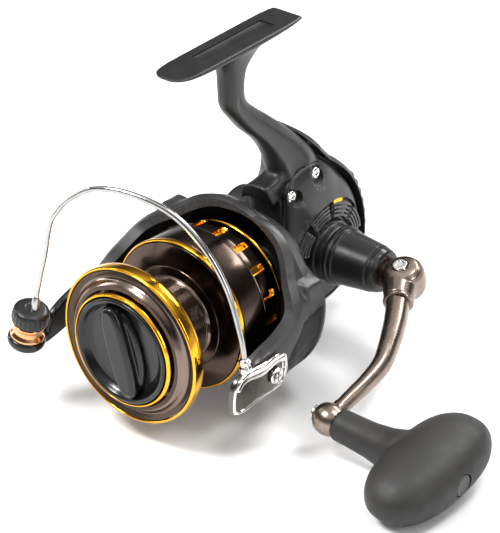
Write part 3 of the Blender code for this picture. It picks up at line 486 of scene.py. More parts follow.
STEM = [(-17.0, -1.6, 23.0, -1.4, 0.0, 7.2), (-10.0, -3.0, 16.5, -3.0, 0.0, 6.4),
        (-6.2, -6.2, 11.2, -6.4, 0.0, 5.2), (-4.7, -11.0, 7.0, -11.0, 0.0, 4.3),
        (-4.4, -18.0, 5.8, -18.0, 0.0, 3.9), (-3.6, -24.0, 6.8, -23.6, 0.0, 4.0),
        (1.2, -30.5, 12.0, -28.9, 0.0, 4.4), (6.6, -36.6, 19.0, -34.6, 0.0, 4.9),
        (13.2, -42.8, 27.0, -41.4, 0.0, 5.4), (18.4, -49.4, 35.6, -49.2, 0.0, 6.0),
        (21.8, -56.5, 43.6, -57.6, 0.0, 6.6), (25.0, -67.0, 49.0, -69.0, 0.0, 6.6)]
SHOULDER = [(22.0, -52.0, 33.0, -51.0, 0.2, 6.2), (23.6, -59.0, 35.0, -59.0, -0.8, 7.2),
            (25.0, -67.0, 38.0, -67.0, -2.0, 8.6), (25.0, -75.0, 40.0, -75.0, -3.2, 10.2),
            (25.0, -84.0, 42.0, -84.0, -4.0, 11.6)]  # front y, z, rear y, z, middle x, half width
SCOOP = [(0.6, -20.0, 3.75), (1.6, -25.0, 3.6), (7.6, -32.0, 3.7), (14.0, -39.0, 3.9),
         (21.5, -46.5, 4.2), (28.5, -54.0, 4.6), (33.0, -61.0, 5.4)]  # y, z, x of the hollow
SCOOP_R = 5.2
FOOT = [(-34.6, 2.6, 1.0), (-33.9, 4.4, 1.1), (-32.2, 6.0, 1.3), (-29.5, 7.1, 1.7), (-24.0, 7.7, 2.3),
        (-14.0, 7.8, 3.0), (0.0, 7.8, 3.4), (12.0, 7.8, 3.1), (22.0, 7.8, 2.5), (29.0, 7.5, 1.9),
        (32.2, 7.0, 1.7), (33.2, 6.6, 1.6)]  # y, half width, thickness
ROD_X, ROD_Z = 0.2, -81.2


def side_outline(grow=0.0, per=6):
    out = np.array(smooth_path(SIDE, per, closed=True))
    ray = out - CASE_MID
    return out + ray / np.linalg.norm(ray, axis=1)[:, None] * grow


def soft_min(a, b, k=1.6):
    """The smaller of a and b, rounded over about k where they meet."""
    return b - k * math.log(math.exp(-(a - b) / k) + 1.0) if a - b > -40 * k else a


def case_slab():
    """Flat body of the case, its outline held in by LEVELS at each height x."""
    rings = []
    for x, grow, top, fore in smooth_path(LEVELS, 3):
        rings.append([(x, -soft_min(-y, -fore), soft_min(z, top)) for y, z in side_outline(grow)])
    return loft("slab", rings)


def sloping_solid(name, rows, power):
    """Loft of oval sections, each laid between a front point and a rear point."""
    rings = []
    for fy, fz, ry, rz, mid, w in smooth_path(rows, 5):
        rings.append([(mid + w * cy, (fy + ry) / 2 + (ry - fy) / 2 * cx,
                       (fz + rz) / 2 + (rz - fz) / 2 * cx) for cx, cy in oval(1.0, 1.0, 48, power)])
    return loft(name, rings)


def foot_solid():
    rings = []
    for y, w, t in smooth_path(FOOT, 4):
        c = min(0.5, t * 0.3)
        rings.append([(x, y, z) for x, z in (
            (-w + c, 0.0), (w - c, 0.0), (w, -c), (w, -t * 0.55), (w * 0.72, -t),
            (-w * 0.72, -t), (-w, -t * 0.55), (-w, -c))])
    return loft("foot", rings)


def cover_plate(name, levels, per):
    """Loft of the side cover's outline, drawn in by g at each height x."""
    rings = []
    mid = np.array([46.0, -94.0])
    pts = np.array(smooth_path(COVER, per, closed=True))
    for x, g in levels:
        d = pts - mid
        q = mid + d * (1.0 - g / np.linalg.norm(d, axis=1))[:, None]
        rings.append([(x, y, z) for y, z in q])
    return loft(name, rings)


COVER = [(23.6, -110.0), (23.6, -90.0), (23.3, -71.0), (24.4, -65.4), (29.6, -62.2), (36.0, -61.0),
         (42.8, -62.2), (48.0, -65.4), (53.2, -70.4), (60.2, -78.0), (65.0, -87.0), (67.2, -97.0),
         (66.8, -106.6), (63.4, -114.6), (56.9, -120.0), (48.0, -122.5), (38.2, -121.9),
         (30.0, -120.2), (25.0, -116.0)]
SCREWS = [(24.9, -68.6), (38.9, -64.8), (28.4, -115.4)]
SCREW_X = 7.0  # seat of the screw heads
PIT_SHIFT = [(1.5, -1.1), (0.4, -1.3), (0.6, 0.6)]  # each bowl lies off its screw, y and z


def scoop_solid(side):
    """Long hollow down one flank of the stem."""
    path = [((x + SCOOP_R) * side, y, z) for y, z, x in SCOOP]
    return tube("scoop", smooth_path(path, 6), lambda s: (SCOOP_R, 3.4 + SCOOP_R * s), 40, XA)


def foot_panel():
    """Shallow label recess in the top of the foot."""
    outline = [(-3.2, -16.0), (3.2, -16.0), (3.2, 21.5), (-3.2, 21.5)]
    return plate("panel", outline, (0, 0, 0), XA, YA, -0.6, 1.0, 0.15)


def body_housing():
    boss = lathe("boss", [(0, -18), (17, -18), (17, -9), (0, -9)], HAND_O, XA, 96, 1.6)
    bulge = lathe("bulge", [(0, -24), (12, -24), (12, -9), (0, -9)],
                  (0, 31.2, -88.6), XA, 96, 2.4)
    stem = sloping_solid("stem", STEM, 2.6)
    shoulder = sloping_solid("shoulder", SHOULDER, 3.2)
    ob = fuse([case_slab(), stem, foot_solid(), boss, bulge, shoulder], "housing_shell",
              VOXEL_BODY, 5)
    cut(ob, [scoop_solid(1), scoop_solid(-1)])
    ob = fuse([ob], "housing_shell", VOXEL_BODY, 3)
    cut(ob, [foot_panel()])
    bore(ob, [(0, -21), (3.4, -21), (3.4, -12.6), (6.3, -12.6), (6.3, -8.6), (19.8, -8.6),
              (19.8, 20), (0, 20)], HAND_O, XA)
    cut(ob, [block("gear_room", (-2.4, 31.6, -92.0), (20.0, 59.4, -79.0)),
             cover_plate("seat", ((BODY_X1, -0.35), (BODY_X1 + 12.0, -0.35)), 4)])
    bore(ob, [(0, 0), (42, 0), (42, 6.8), (37, 11.8), (27, 17.3), (21.6, 19.2), (18.4, 21.95),
              (0, 21.95)], MAIN_O, YA, 96)  # room for the rotor
    cut(ob, [lathe("collar", [(0, 19.8), (14.2, 19.8), (14.2, 23.2), (0, 23.2)], MAIN_O, YA, 96,
                   0.4)], "UNION")
    bore(ob, [(0, 10), (12.8, 10), (12.8, 22.6), (4.3, 22.6), (4.3, 32), (0, 32)], MAIN_O, YA)
    cut(ob, [block("saddle", (-2.1, 32.6, -94.0), (4.2, 36.4, -76.0))], "UNION")
    bore(ob, [(0, 31), (4.25, 31), (4.25, 38), (0, 38)], MAIN_O, YA, 48)
    bore(ob, [(0, 30), (1.3, 30), (1.3, 61.9), (0, 61.9)], (ROD_X, 0, ROD_Z), YA, 24)
    for y, z in SCREWS:
        bore(ob, [(0, 0.4), (1.35, 0.4), (1.35, 7), (0, 7)], (0, y, z), XA, 24)
    piece(ob, "black_body", "frame", ["body_housing"], 40)


def side_cover():
    rim = ((BODY_X1 + 0.3, 0.0), (5.9, 0.0), (6.5, 0.3), (7.1, 1.0), (7.8, 2.2),
           (8.5, 4.0), (9.2, 6.6), (9.8, 10.0), (10.1, 14.0), (10.1, 16.0))
    slab = cover_plate("cover_slab", rim, 5)
    neck = lathe("neck", [(0, 5.2), (11.9, 5.2), (11.9, 9.4), (10.9, 10.4), (10.6, 12.6),
                          (10.0, 13.4), (0, 13.4)], HAND_O, XA, 96, 0.4)
    bore(slab, [(11.9, 6.6), (20.3, 6.6), (21.3, 12), (11.9, 12)], HAND_O, XA, 128)
    cut(slab, [neck], "UNION")
    cut(slab, [lathe("post", [(0, 2.7), (1.4, 2.7), (1.4, 6), (0, 6)], (0, HY, HZ + 11.9), XA,
                     32, 0.2)], "UNION")
    bore(slab, [(0, 4), (6.3, 4), (6.3, 11.4), (3.4, 11.4), (3.4, 15), (0, 15)], HAND_O, XA)
    for (y, z), (dy, dz) in zip(SCREWS, PIT_SHIFT):
        bore(slab, [(0, 3), (1.35, 3), (1.35, 6.7), (2.8, 6.7), (2.9, 11.0), (0, 11.0)], (0, y, z), XA)
        bore(slab, [(0, 6.4), (2.2, 6.4), (2.9, 6.9), (3.5, 11.0), (0, 11.0)],
             (0, y + dy, z + dz), XA)
    bv = slab.modifiers.new("edge", "BEVEL")
    bv.width, bv.segments, bv.limit_method = 0.22 * MM, 2, "ANGLE"
    bv.angle_limit = math.radians(38)
    bake(slab)
    piece(slab, "black_body", "frame", ["side_cover"], 35)


def arc_bar(a0, a1, r0, r1, x0, x1):
    """Square bar bent round the crank axis, from one angle to another."""
    rings = []
    steps = max(6, int((a1 - a0) / 2))
    edge = 0.12
    for i in range(steps + 1):
        t = math.radians(a0 + (a1 - a0) * i / steps)
        sec = ((r0, x0), (r1, x0), (r1, x1 - edge), (r1 - edge, x1), (r0 + edge, x1),
               (r0, x1 - edge))
        rings.append([(x, HY + r * math.cos(t), HZ + r * math.sin(t)) for r, x in sec])
    return loft("arc_bar", rings)


def gear_cap():
    """Trim ring in the round recess; ribbed blocks along its upper half."""
    sec = [(12.3, 6.9), (19.8, 6.9), (19.8, 7.5), (19.5, 7.7), (12.9, 7.7), (12.3, 7.5)]
    piece(lathe("cap_ring", sec, HAND_O, XA, 160, 0.1), "black_gloss", "frame", ["gear_cap"],
          30)
    ribs = []
    for lo, hi in ((8, 40), (50, 82), (92, 124), (134, 166)):
        for j in range(4):
            r = 19.1 - 1.5 * j
            ribs.append(arc_bar(lo, hi, r - 0.85, r, 7.6, 9.3 + 0.22 * j))
        ribs.append(arc_bar(lo, hi, 13.6, 19.1, 7.6, 8.4))
    piece(join(ribs, "cap_ribs"), "rib_grey", "frame", (), 30)
    piece(arc_bar(70, 85, 19.3, 20.9, 7.6, 9.6), "gold", "frame", (), 30)


def rear_bumper():
    """Guard strip down the back of the case, ribbed from where it turns down."""
    pitch, first_rib = 4.7, 46.0
    pts = side_outline(0.7, 14)
    keep = [q for q in pts if q[0] > 50.0 and -117.0 < q[1] < -60.0]
    keep.sort(key=lambda q: -q[1])
    lead = smooth_path([(28.6, -42.8), (35.9, -49.2), (41.8, -55.2), (46.6, -60.6), keep[0]], 14)
    keep = list(lead[:-1]) + keep
    m = len(keep)
    arc, rings = 0.0, []
    for i, q in enumerate(keep):
        t = unit(keep[min(i + 1, m - 1)] - keep[max(i - 1, 0)])
        arc += 0.0 if i == 0 else float(np.linalg.norm(q - keep[i - 1]))
        nrm = np.array([-t[1], t[0]])
        s = i / (m - 1)
        end = min(1.0, s * 5 + 0.1, (1 - s) * 5 + 0.3)
        rib = 0.0
        if arc > first_rib:
            rib = max(0.0, math.sin(2 * math.pi * arc / pitch)) ** 0.6
        th = 0.5 + 1.5 * end + 1.0 * rib * end
        w = 2.2 + 4.6 * min(1.0, arc / 22.0) + 2.8 * step01((arc - 22.0) / 22.0)
        mid = -0.6 - 1.6 * step01((arc - 10.0) / 30.0)
        sec = []
        for j in range(25):
            u = -1 + 2 * j / 24
            lift = (1 - abs(u) ** 5) ** 0.5
            sec.append((w * u, 0.5 + (th - 0.5) * lift))
        sec = [(-w, 0.0)] + sec + [(w, 0.0)]
        rings.append([(x + mid, q[0] + nrm[0] * h, q[1] + nrm[1] * h) for x, h in sec])
    piece(loft("bumper", rings), "bumper", "frame", ["rear_bumper"], 50)


def screw_piece(name, origin, axis, r, h, shank, length, body, node, recess):
    """Pan head with a cross recess and its shank."""
    origin = np.asarray(origin, float)
    ob = lathe(name, [(0, -length), (shank * 0.8, -length), (shank, -length + 0.4), (shank, 0),
                      (r, 0), (r, h * 0.4), (r * 0.93, h * 0.72), (r * 0.7, h * 0.94),
                      (r * 0.4, h), (0, h)], origin, axis, 64, 0.12)
    a, b, k = frame_for(axis)
    for ea, eb in ((a, b), (b, -a)):
        w, t = r * 0.56, r * 0.13
        cut(ob, [plate("x", [(-w, -t), (w, -t), (w, t), (-w, t)], origin, ea, eb, h - recess,
                       h + 1.0, 0.05)])
    piece(ob, "chrome", body, [node], 30)


def trims():
    cap = lathe("end_cap", [(0, -18.3), (6.2, -18.3), (6.2, -19.8), (5.4, -20.8), (2.4, -21.2),
                            (2.2, -20.4), (0, -20.4)], HAND_O, XA, 96, 0.25)
    stub = lathe("stub", [(0, -18.7), (3, -18.7), (3, -13.2), (0, -13.2)], HAND_O, XA, 64, 0.3)
    piece(cut(cap, [stub], "UNION"), "black_gloss", "frame", ["left_cap"])
    names = ("cover_screw_front", "cover_screw_top", "cover_screw_low")
    for nm, (y, z) in zip(names, SCREWS):
        screw_piece("head_" + nm, (SCREW_X, y, z), XA, 2.3, 1.5, 1.05, 6.1, "frame", nm, 0.9)


# ---- crank --------
def arm_pt(l, x):
    """Point l along the crank arm and x out from the boss."""
    return BOSS + ARM_W * l + XA * x


def handle_cone():
    prof = [(3.2, 13.8), (11.3, 13.8), (11.5, 14.2), (11.5, 15.2), (10.7, 15.7), (10.7, 16.3),
            (11.2, 16.7), (11.0, 17.4), (10.5, 17.8), (9.1, 31.0), (8.8, 31.3), (8.4, 31.5),
            (8.4, 32.3), (8.7, 32.6), (8.0, 34.6), (7.2, 35.1), (3.2, 35.1)]
    piece(lathe("cone", prof, HAND_O, XA, SEGS, 0.16), "cone_black", "crank", ["handle_cone"])


def handle_arm():
    boss = lathe("boss", [(0, -6.9), (3.8, -6.85), (5.6, -6.3), (7.0, -5.0), (7.8, -3.0), (8.0, 0),
                          (7.8, 3.0), (7.0, 5.0), (5.6, 6.3), (3.8, 6.85), (0, 6.9)],
                 BOSS + XA * 0.7, ARM_P, 96, 0)
    shaft_end = lathe("shoulder", [(0, -9.0), (5.0, -9.0), (5.6, -7.4), (6.4, -4), (0, -2)],
                      BOSS, XA, 96, 0.2)
    root = tube("root", smooth_path([arm_pt(0, -0.2), arm_pt(4, 1.8), arm_pt(10.2, 5.2)], 6),
                lambda s: (8.0 - 2.5 * s, 7.9 - 2.4 * s), 48, ARM_P)
    drop = fuse([boss, shaft_end, root], "drop", 0.28, 10)
    path = smooth_path([arm_pt(8.0, 3.9), arm_pt(10.9, 5.5), arm_pt(20.0, 10.6), arm_pt(31.0, 15.5),
                        arm_pt(39.0, 18.2), arm_pt(48.0, 18.7), arm_pt(59.0, 17.8),
                        arm_pt(66.9, 17.2)], 10)
    rod = tube("rod", path, lambda s: (4.9 - 2.0 * s, 4.8 - 2.3 * s), 48, ARM_P)
    way = arm_pt(20.0, 10.6) - arm_pt(2.0, 0.6)
    neck = lathe("neck", [(0, -2.0), (5.3, -2.0), (5.5, -1.4), (5.5, -0.7), (5.2, -0.4), (5.2, -0.1),
                          (5.6, 0.1), (5.65, 0.8), (5.2, 1.3), (0, 1.3)], arm_pt(10.4, 5.3), way, 96,
                 0.12)
    ball = lathe("ball", [(0, -5.3), (2.4, -5.25), (3.9, -4.8), (5.0, -3.8), (5.7, -2.2), (6.0, 0),
                          (5.8, 1.9), (5.3, 3.3), (5.0, 3.9), (0, 3.9)], BALL, KNOB_AX, 96, 0)
    cuff = tube("cuff", [arm_pt(62.6, 17.5), arm_pt(64.6, 17.35)], 3.15, 48, ARM_P, True)
    shaft = lathe("shaft", [(0, -29.8), (2.4, -29.8), (2.8, -29.4), (2.8, 0), (0, 0)], BOSS, XA,
                  48, 0)
    cut(drop, [shaft, neck, rod, cuff, ball], "UNION")
    bore(drop, [(0, -7), (2.0, -7), (2.0, 7), (0, 7)], BALL, KNOB_AX, 48)
    bore(drop, [(0, 5.6), (3.3, 5.6), (3.5, 8), (0, 8)], BOSS, ARM_P)
    piece(drop, "bronze", "crank", ["handle_arm"], 38)
    pin = lathe("pin", [(0, 5.9), (3.0, 5.9), (3.0, 6.9), (2.6, 7.4), (1.7, 7.5), (1.5, 7.1), (0, 7.1)],
                BOSS, ARM_P, 64, 0.12)
    piece(pin, "chrome", "crank", ["fold_pin"])


# long way of the knob
BAR_DIR = np.array([0.0, math.cos(math.radians(6.0)), math.sin(math.radians(6.0))])
KC = BALL + KNOB_AX * 43.0  # middle of the knob


def handle_knob():
    stem = lathe("kstem", [(0, 4.2), (5.4, 4.2), (5.9, 4.9), (6.0, 10), (6.4, 18), (7.4, 25), (9, 30),
                           (9.4, 36), (0, 36)], BALL, KNOB_AX, 96, 0.3)
    side = np.cross(KNOB_AX, BAR_DIR)
    rings = []
    for i in range(49):
        s = -math.cos(math.pi * i / 48)
        e = max((1 - abs(s) ** 2.6) ** (1 / 2.2), 0.1)
        rings.append([KC + BAR_DIR * 29.0 * s + KNOB_AX * 15.1 * e * cx + side * 11.2 * e * cy
                      for cx, cy in oval(1.0, 1.0, 72, 2.3)])
    ob = fuse([stem, loft("kbar", rings)], "grip", 0.45, 14)
    bore(ob, [(0, 0), (4.3, 0), (4.3, 8.4), (2.0, 8.4), (2.0, 38), (4.35, 38), (4.35, 64), (0, 64)],
         BALL, KNOB_AX, 96)
    piece(ob, "knob_rubber", "grip", ["handle_knob"], 40)
    cap = lathe("kcap", [(0, 54.6), (4.05, 54.6), (4.05, 57.3), (3.5, 57.9), (3.0, 57.9), (2.8, 57.7),
                         (0, 57.75)], BALL, KNOB_AX, 96, 0.2)
    piece(cap, "cap_rubber", "grip", ["knob_cap"])
    axle = lathe("axle", [(0, -5.8), (2.9, -5.8), (2.9, -5.0), (1.9, -5.0), (1.9, 40.5), (1.6, 40.9),
                          (0, 40.9)], BALL - KNOB_AX * 0.6, KNOB_AX, 64, 0.1)
    piece(axle, "steel", "crank", ["knob_axle"])


# ---- spool --------
SLOTS = 18
SLOT_W, SLOT_L, SLOT_Y = 1.35, 3.2, -12.1  # half width, half length, middle along the skirt


def flange_y(r):
    """Cone of the spool's rear flange."""
    return -31.9 + (r - 16.2) * 1.7 / 11.7


def spool():
    arbor = []
    for i in range(14):  # fine ridges where the line is wound
        y = -46.2 + 0.93 * i
        arbor += [(15.4, y), (15.4, y + 0.5), (15.15, y + 0.58), (15.15, y + 0.85)]
    flange = []
    for r in (19.3, 19.45, 19.65, 19.8):
        dip = 0.22 if 19.4 < r < 19.7 else 0.0
        flange.append((r, flange_y(r) + dip))
    prof = [(22.4, -59.2), (23.9, -58.9), (24.6, -58.0), (25.3, -56.9), (25.9, -56.4), (26.8, -56.1),
            (28.6, -57.0), (28.6, -51.9), (27.6, -51.0), (16.6, -48.9), (15.4, -46.8)]
    prof += arbor + [(15.4, -33.1), (16.2, -31.9)] + flange
    prof += [(27.9, -30.2), (27.9, -27.4), (28.6, -27.2), (28.6, -16.6), (28.35, -16.3),
             (28.35, -15.9), (28.5, -15.6), (28.4, -13.4), (27.4, -9.0), (25.9, -4.2), (24.6, -4.0),
             (24.6, -1.7), (23.4, -1.7), (26.0, -12.0), (26.2, -25.0), (25.0, -27.6), (5.0, -28.8),
             (5.0, -25.0), (3.7, -25.0), (3.7, -36.4), (13.3, -36.4), (13.3, -52.0), (21.9, -52.4)]
    ob = lathe("spool_shell", prof, MAIN_O, YA, 144, 0.12)
    hole = ((24.0, 1.0), (27.6, 1.0), (30.0, 1.28))
    cut(ob, [join([loft("slot", slot_rings(i, hole)) for i in range(SLOTS)], "slots")])
    piece(ob, "gunmetal", "bobbin", ["spool"], 26)


def slot_frame(i):
    """Outward and sideways directions of one window in the skirt."""
    t = 2 * math.pi * i / SLOTS
    return (np.array([math.cos(t), 0.0, math.sin(t)]), np.array([-math.sin(t), 0.0, math.cos(t)]))


def slot_rings(i, levels):
    """Window outlines scaled by k at each radius r."""
    out, tan = slot_frame(i)
    rings = []
    for r, k in levels:
        c = MAIN_O + out * r + YA * SLOT_Y
        rings.append([c + tan * a * k + YA * b * k for a, b in oval(SLOT_W, SLOT_L, 32, 6.0)])
    return rings


def slot_liners():
    """Bright window frames set into the skirt slots."""
    parts = []
    inner = ((26.7, 0.96), (27.5, 0.96), (27.9, 1.0), (27.5, 0.84), (26.95, 0.78), (26.7, 0.78))
    for i in range(SLOTS):
        out, tan = slot_frame(i)
        parts.append(loft("frame", slot_rings(i, inner), closed=True))
        floor = oval(SLOT_W - 0.1, SLOT_L - 0.1, 32, 6.0)
        parts.append(plate("floor", floor, MAIN_O + out * 26.55 + YA * SLOT_Y, tan, -YA, -0.15, 0.3,
                           0.1))
    piece(join(parts, "skirt_windows"), "gold", "bobbin", (), 30)


SPOOL_RINGS = (
    ("lip_gold", "gold", ["lip_ring"], 0.2,
     [(28.9, -57.1), (29.3, -57.4), (29.6, -57.3), (30.0, -56.7), (30.05, -55.0), (29.9, -53.2),
      (29.6, -52.2), (29.2, -51.7), (28.9, -51.7)]),
    ("skirt_gold_front", "gold", ["skirt_ring_front"], 0.2,
     [(28.2, -29.9), (28.6, -29.9), (28.95, -29.3), (28.95, -28.2), (28.6, -27.6), (28.2, -27.6)]),
    ("skirt_gold_rear", "gold", ["skirt_ring_rear"], 0.15,
     [(24.9, -3.7), (25.3, -3.5), (25.6, -3.0), (25.5, -2.1), (24.9, -1.8)]),
    ("lip_band", "gunmetal_lip", (), 0.1,
     [(23.2, -58.6), (23.9, -59.1), (24.7, -58.2), (25.4, -57.1), (26.0, -56.6), (26.6, -56.4),
      (26.4, -56.0), (25.8, -56.1)]),
    ("arbor_ring", "gunmetal_lip", (), 0.1,
     [(15.5, -32.9), (15.75, -32.9), (16.3, -32.0), (16.3, -31.6), (15.5, -31.6)]))


def spool_rings():
    for name, look, nodes, soft, profile in SPOOL_RINGS:
        piece(lathe(name, profile, MAIN_O, YA, 160, soft), look, "bobbin", nodes)


def drag_knob():
    def grip(t, r, h):  # fine ribs round the dial's edge
        k = max(0.0, min(1.0, (r - 19.7) / 0.4)) if -61.2 < h < -56.0 else 0.0
        return r - 0.35 * k * (0.5 + 0.5 * math.cos(40 * t))

    prof = [(0, -58.9), (8.0, -58.9), (15.0, -59.0), (16.6, -59.5), (17.6, -60.6), (18.4, -62.0),
            (19.4, -62.4), (20.2, -61.9), (20.2, -57.0), (19.6, -53.0), (18.9, -52.8),
            (12.9, -52.8), (12.9, -51.6), (9.4, -50.3), (1.85, -50.3), (1.85, -58.5), (0, -58.5)]
    dish = lathe("dial", prof, MAIN_O, YA, 320, 0.3, grip)
    ang = math.radians(106)
    ea = np.array([math.cos(ang), 0.0, math.sin(ang)])
    eb = np.cross(-YA, ea)
    outline = oval(17.3, 4.9, 96, 3.0)
    bar = plate("bar", outline, MAIN_O, ea, eb, 58.2, 64.4, 1.6)
    low = plate("bar_low", oval(16.2, 8.2, 96, 2.2), MAIN_O, ea, eb, 58.0, 61.0, 1.4)
    fused = fuse([bar, low], "dial_bar", 0.22, 10)
    piece(join([dish, fused], "drag_dial_shell"), "black_gloss", "drag_dial", ["drag_knob"],
          34)
    ring = lathe("dial_ring", [(20.55, -61.0), (20.55, -59.9), (21.0, -59.6), (21.7, -59.9),
                               (21.8, -60.5), (21.4, -61.4), (20.9, -61.6)], MAIN_O, YA, 160, 0.15)
    piece(ring, "gold", "drag_dial", ["knob_ring"])


# ---- rotor --------
CHAMFER = 3.4  # width of the bevel along the rotor's front edge
SKIRT_CLEAR = 29.5  # nothing of the rotor's rim comes nearer the spool
R_ARM = PHI - math.radians(11.5)
L_ARM = math.pi + PHI + math.radians(4.0)
EDGE = np.array(smooth_path([
    (0.0, 34.6), (6.5, 34.2), (11.5, 28.6), (15.5, 21.6), (22.0, 14.2), (29.5, 10.4), (36.0, 8.2),
    (45.0, 5.4), (60.0, 2.2), (75.0, 0.6), (95.0, 0.0)], 6))  # degrees from an arm, reach forward
PANEL = np.array([(-24.0, -4.0), (-18.0, -12.0), (-6.0, -16.0), (4.5, -14.0), (16.5, -8.0),
                  (18.5, 3.5)])  # degrees from the arm, front edge of its recess, which holds a near-black piece of painted shade
PANEL_REAR = 4.2


def arm_angle(t, centre, wide=1.0):
    """Degrees from the middle of an arm, -180 to 180, shrunk for a wider arm."""
    d = (t - centre + math.pi) % (2 * math.pi) - math.pi
    return math.degrees(d) / wide


def step01(x):
    """Smooth step from 0 to 1."""
    x = max(0.0, min(1.0, x))
    return x * x * (3 - 2 * x)


def arm_radius(y):
    """Outer radius of the rotor's arms at y."""
    return 37.9 + 1.7 * step01((2.0 - y) / 16.0) - 0.8 * step01((-16.0 - y) / 18.0)


def rotor_section(t):
    """Wall of the rotor at angle t as (radius, y): rear cone, outside, inside, hub."""
    dr, dl = arm_angle(t, R_ARM), arm_angle(t, L_ARM, 1.22)
    near = dr if abs(dr) < abs(dl) else dl
    d = abs(near)
    b = step01((44.0 - d) / 24.0)
    w = step01((95.0 - d) / 35.0)
    yf = 0.6 - float(np.interp(d, EDGE[:, 0], EDGE[:, 1]))
    k = max(w, b)
    rear = smooth_path([(16.9, 21.4), (18.6 + b * 1.6, 18.6), (21.4 + b * 3.0, 16.4 - b * 0.4),
                        (24.4 + w * 1.8 + b * 6.6, 11.0), (28.2 + w * 3.6 + b * 6.2, 6.0)], 5)
    out, inn = [tuple(q) for q in rear], []
    far, n, m = 6.0 - yf, 60, 8
    front = float(np.interp(near, PANEL[:, 0], PANEL[:, 1]))
    across = step01((18.5 - near) / 1.0) * step01((near + 24.0) / 1.0)
    for j in range(1, n + m + 1):
        s = j / n * (1 - CHAMFER / far) if j <= n else 1 - CHAMFER / far * (n + m - j) / m
        y = 6.0 - far * s
        rim = 31.6 + 2.6 * w - 3.4 * max(0.0, (y - 0.6) / 5.4) * (1 - 0.3 * w)
        base = rim + (arm_radius(y) - rim) * b
        block = step01((38.0 - d) / 7.0) * step01((y + 5.0) / 3.0) * step01((5.9 - y) / 0.9)
        tip = 0.38 * max(0.0, CHAMFER - (y - yf))
        lip = step01((5.0 - (y - yf)) / 1.5)
        panel = across * step01((y - front) / 0.9) * step01((PANEL_REAR + 0.7 - y) / 0.7)
        out.append((base + (arm_radius(y) + 0.2 - base) * block - tip - 1.5 * panel, y))
        inn.append((max(SKIRT_CLEAR, base - 2.3 - b * step01((4.0 - y) / 14.0) - 1.9 * lip), y))
    return (out + inn[::-1]
            + [(26.2 + 2.6 * w, 5.4), (21.9 + 1.2 * k, 10.6), (18.6, 15.0), (8.0, 16.3),
               (7.2, 15.6), (7.2, 8.2), (4.0, 8.2), (4.0, 19.3), (14.6, 19.3), (15.2, 21.4)])


def arm_recess_shade(centre, wide):
    """Near-black piece set in the recess on the outer face of one rotor arm: painted shade of the
    recess.
    """
    rings = []
    for i in range(41):
        d = -23.0 + 40.6 * i / 40
        t = centre + math.radians(d * wide)
        lo = float(np.interp(d, PANEL[:, 0], PANEL[:, 1])) + 1.0
        ys = [lo + (PANEL_REAR - 0.2 - lo) * j / 16 for j in range(17)]
        sec = [(arm_radius(y) - 0.45, y) for y in ys] + [(arm_radius(y) - 2.0, y) for y in ys[::-1]]
        rings.append([(r * math.cos(t), y, AX_Z + r * math.sin(t)) for r, y in sec])
    return loft("arm_recess_shade", rings)


def rotor():
    rings = []
    steps = 480
    for i in range(steps):
        t = 2 * math.pi * i / steps
        rings.append([(r * math.cos(t), y, AX_Z + r * math.sin(t)) for r, y in rotor_section(t)])
    ob = loft("rotor_shell", rings, closed=True)
    for sgn in (1, -1):
        disc = plate("disc", oval(7.0, 7.0, 72), PIV_O, (0, -1, 0), -N * sgn, 35.2, 39.4, 0.7)
        cut(ob, [disc], "UNION")
    for sgn in (1, -1):
        bore(ob, [(0, 30), (1.9, 30), (1.9, 45), (0, 45)], PIV_O, U * sgn, 32)
    piece(ob, "rotor_grey", "head", ["rotor"], 38)
    # near-black pieces in the arm recesses: painted shade
    recess_shades = join([arm_recess_shade(R_ARM, 1.0), arm_recess_shade(L_ARM, 1.22)], "arm_recess_shades")
    piece(recess_shades, "recess_painted_shade", "head", (), 40)


# ---- bail --------
R_AX = unit(N + 0.18 * U)  # axis of the line roller


def bail_pt(s, f, t):
    """Point s along the pivot line, f ahead of it and t above it."""
    return PIV_O + s * U + np.array([0.0, -f, 0.0]) + t * N


ROLL = bail_pt(-41.0, 34.0, 8.2) - 10.6 * R_AX
LEVER = [(-9.0, 0.0), (-6.5, 5.2), (0.0, 6.8), (9.0, 5.8), (18.0, 3.4), (24.0, 0.2), (26.9, -4.8),
         (27.4, -6.3), (32.0, -6.6), (32.0, -9.6), (27.0, -11.2), (18.0, -9.8), (8.0, -7.4),
         (0.0, -6.8), (-6.5, -5.2)]  # bail arm: ahead of and above the pivot line
HOLDER = [(-7.0, 0.0), (-5.0, 5.2), (0.0, 6.6), (8.0, 6.4), (17.0, 7.4), (22.0, 6.2), (23.2, 2.0),
          (22.4, -4.6), (18.0, -8.0), (9.0, -7.6), (0.0, -6.8), (-5.0, -5.2)]  # ahead, below
WIRE = [(-40.2, 33.4, 8.6), (-39.4, 31.7, 20.1), (-38.7, 30.2, 28.5), (-38.3, 28.2, 40.2),
        (-36.3, 26.9, 45.7), (-32.1, 24.9, 51.9), (-23.5, 21.7, 58.1), (-10.6, 18.3, 59.9),
        (4.7, 14.9, 57.1), (16.9, 13.1, 49.4), (28.0, 12.4, 36.8), (36.1, 13.0, 20.2),
        (40.0, 14.0, 8.9)]  # along, ahead of and above the pivot line


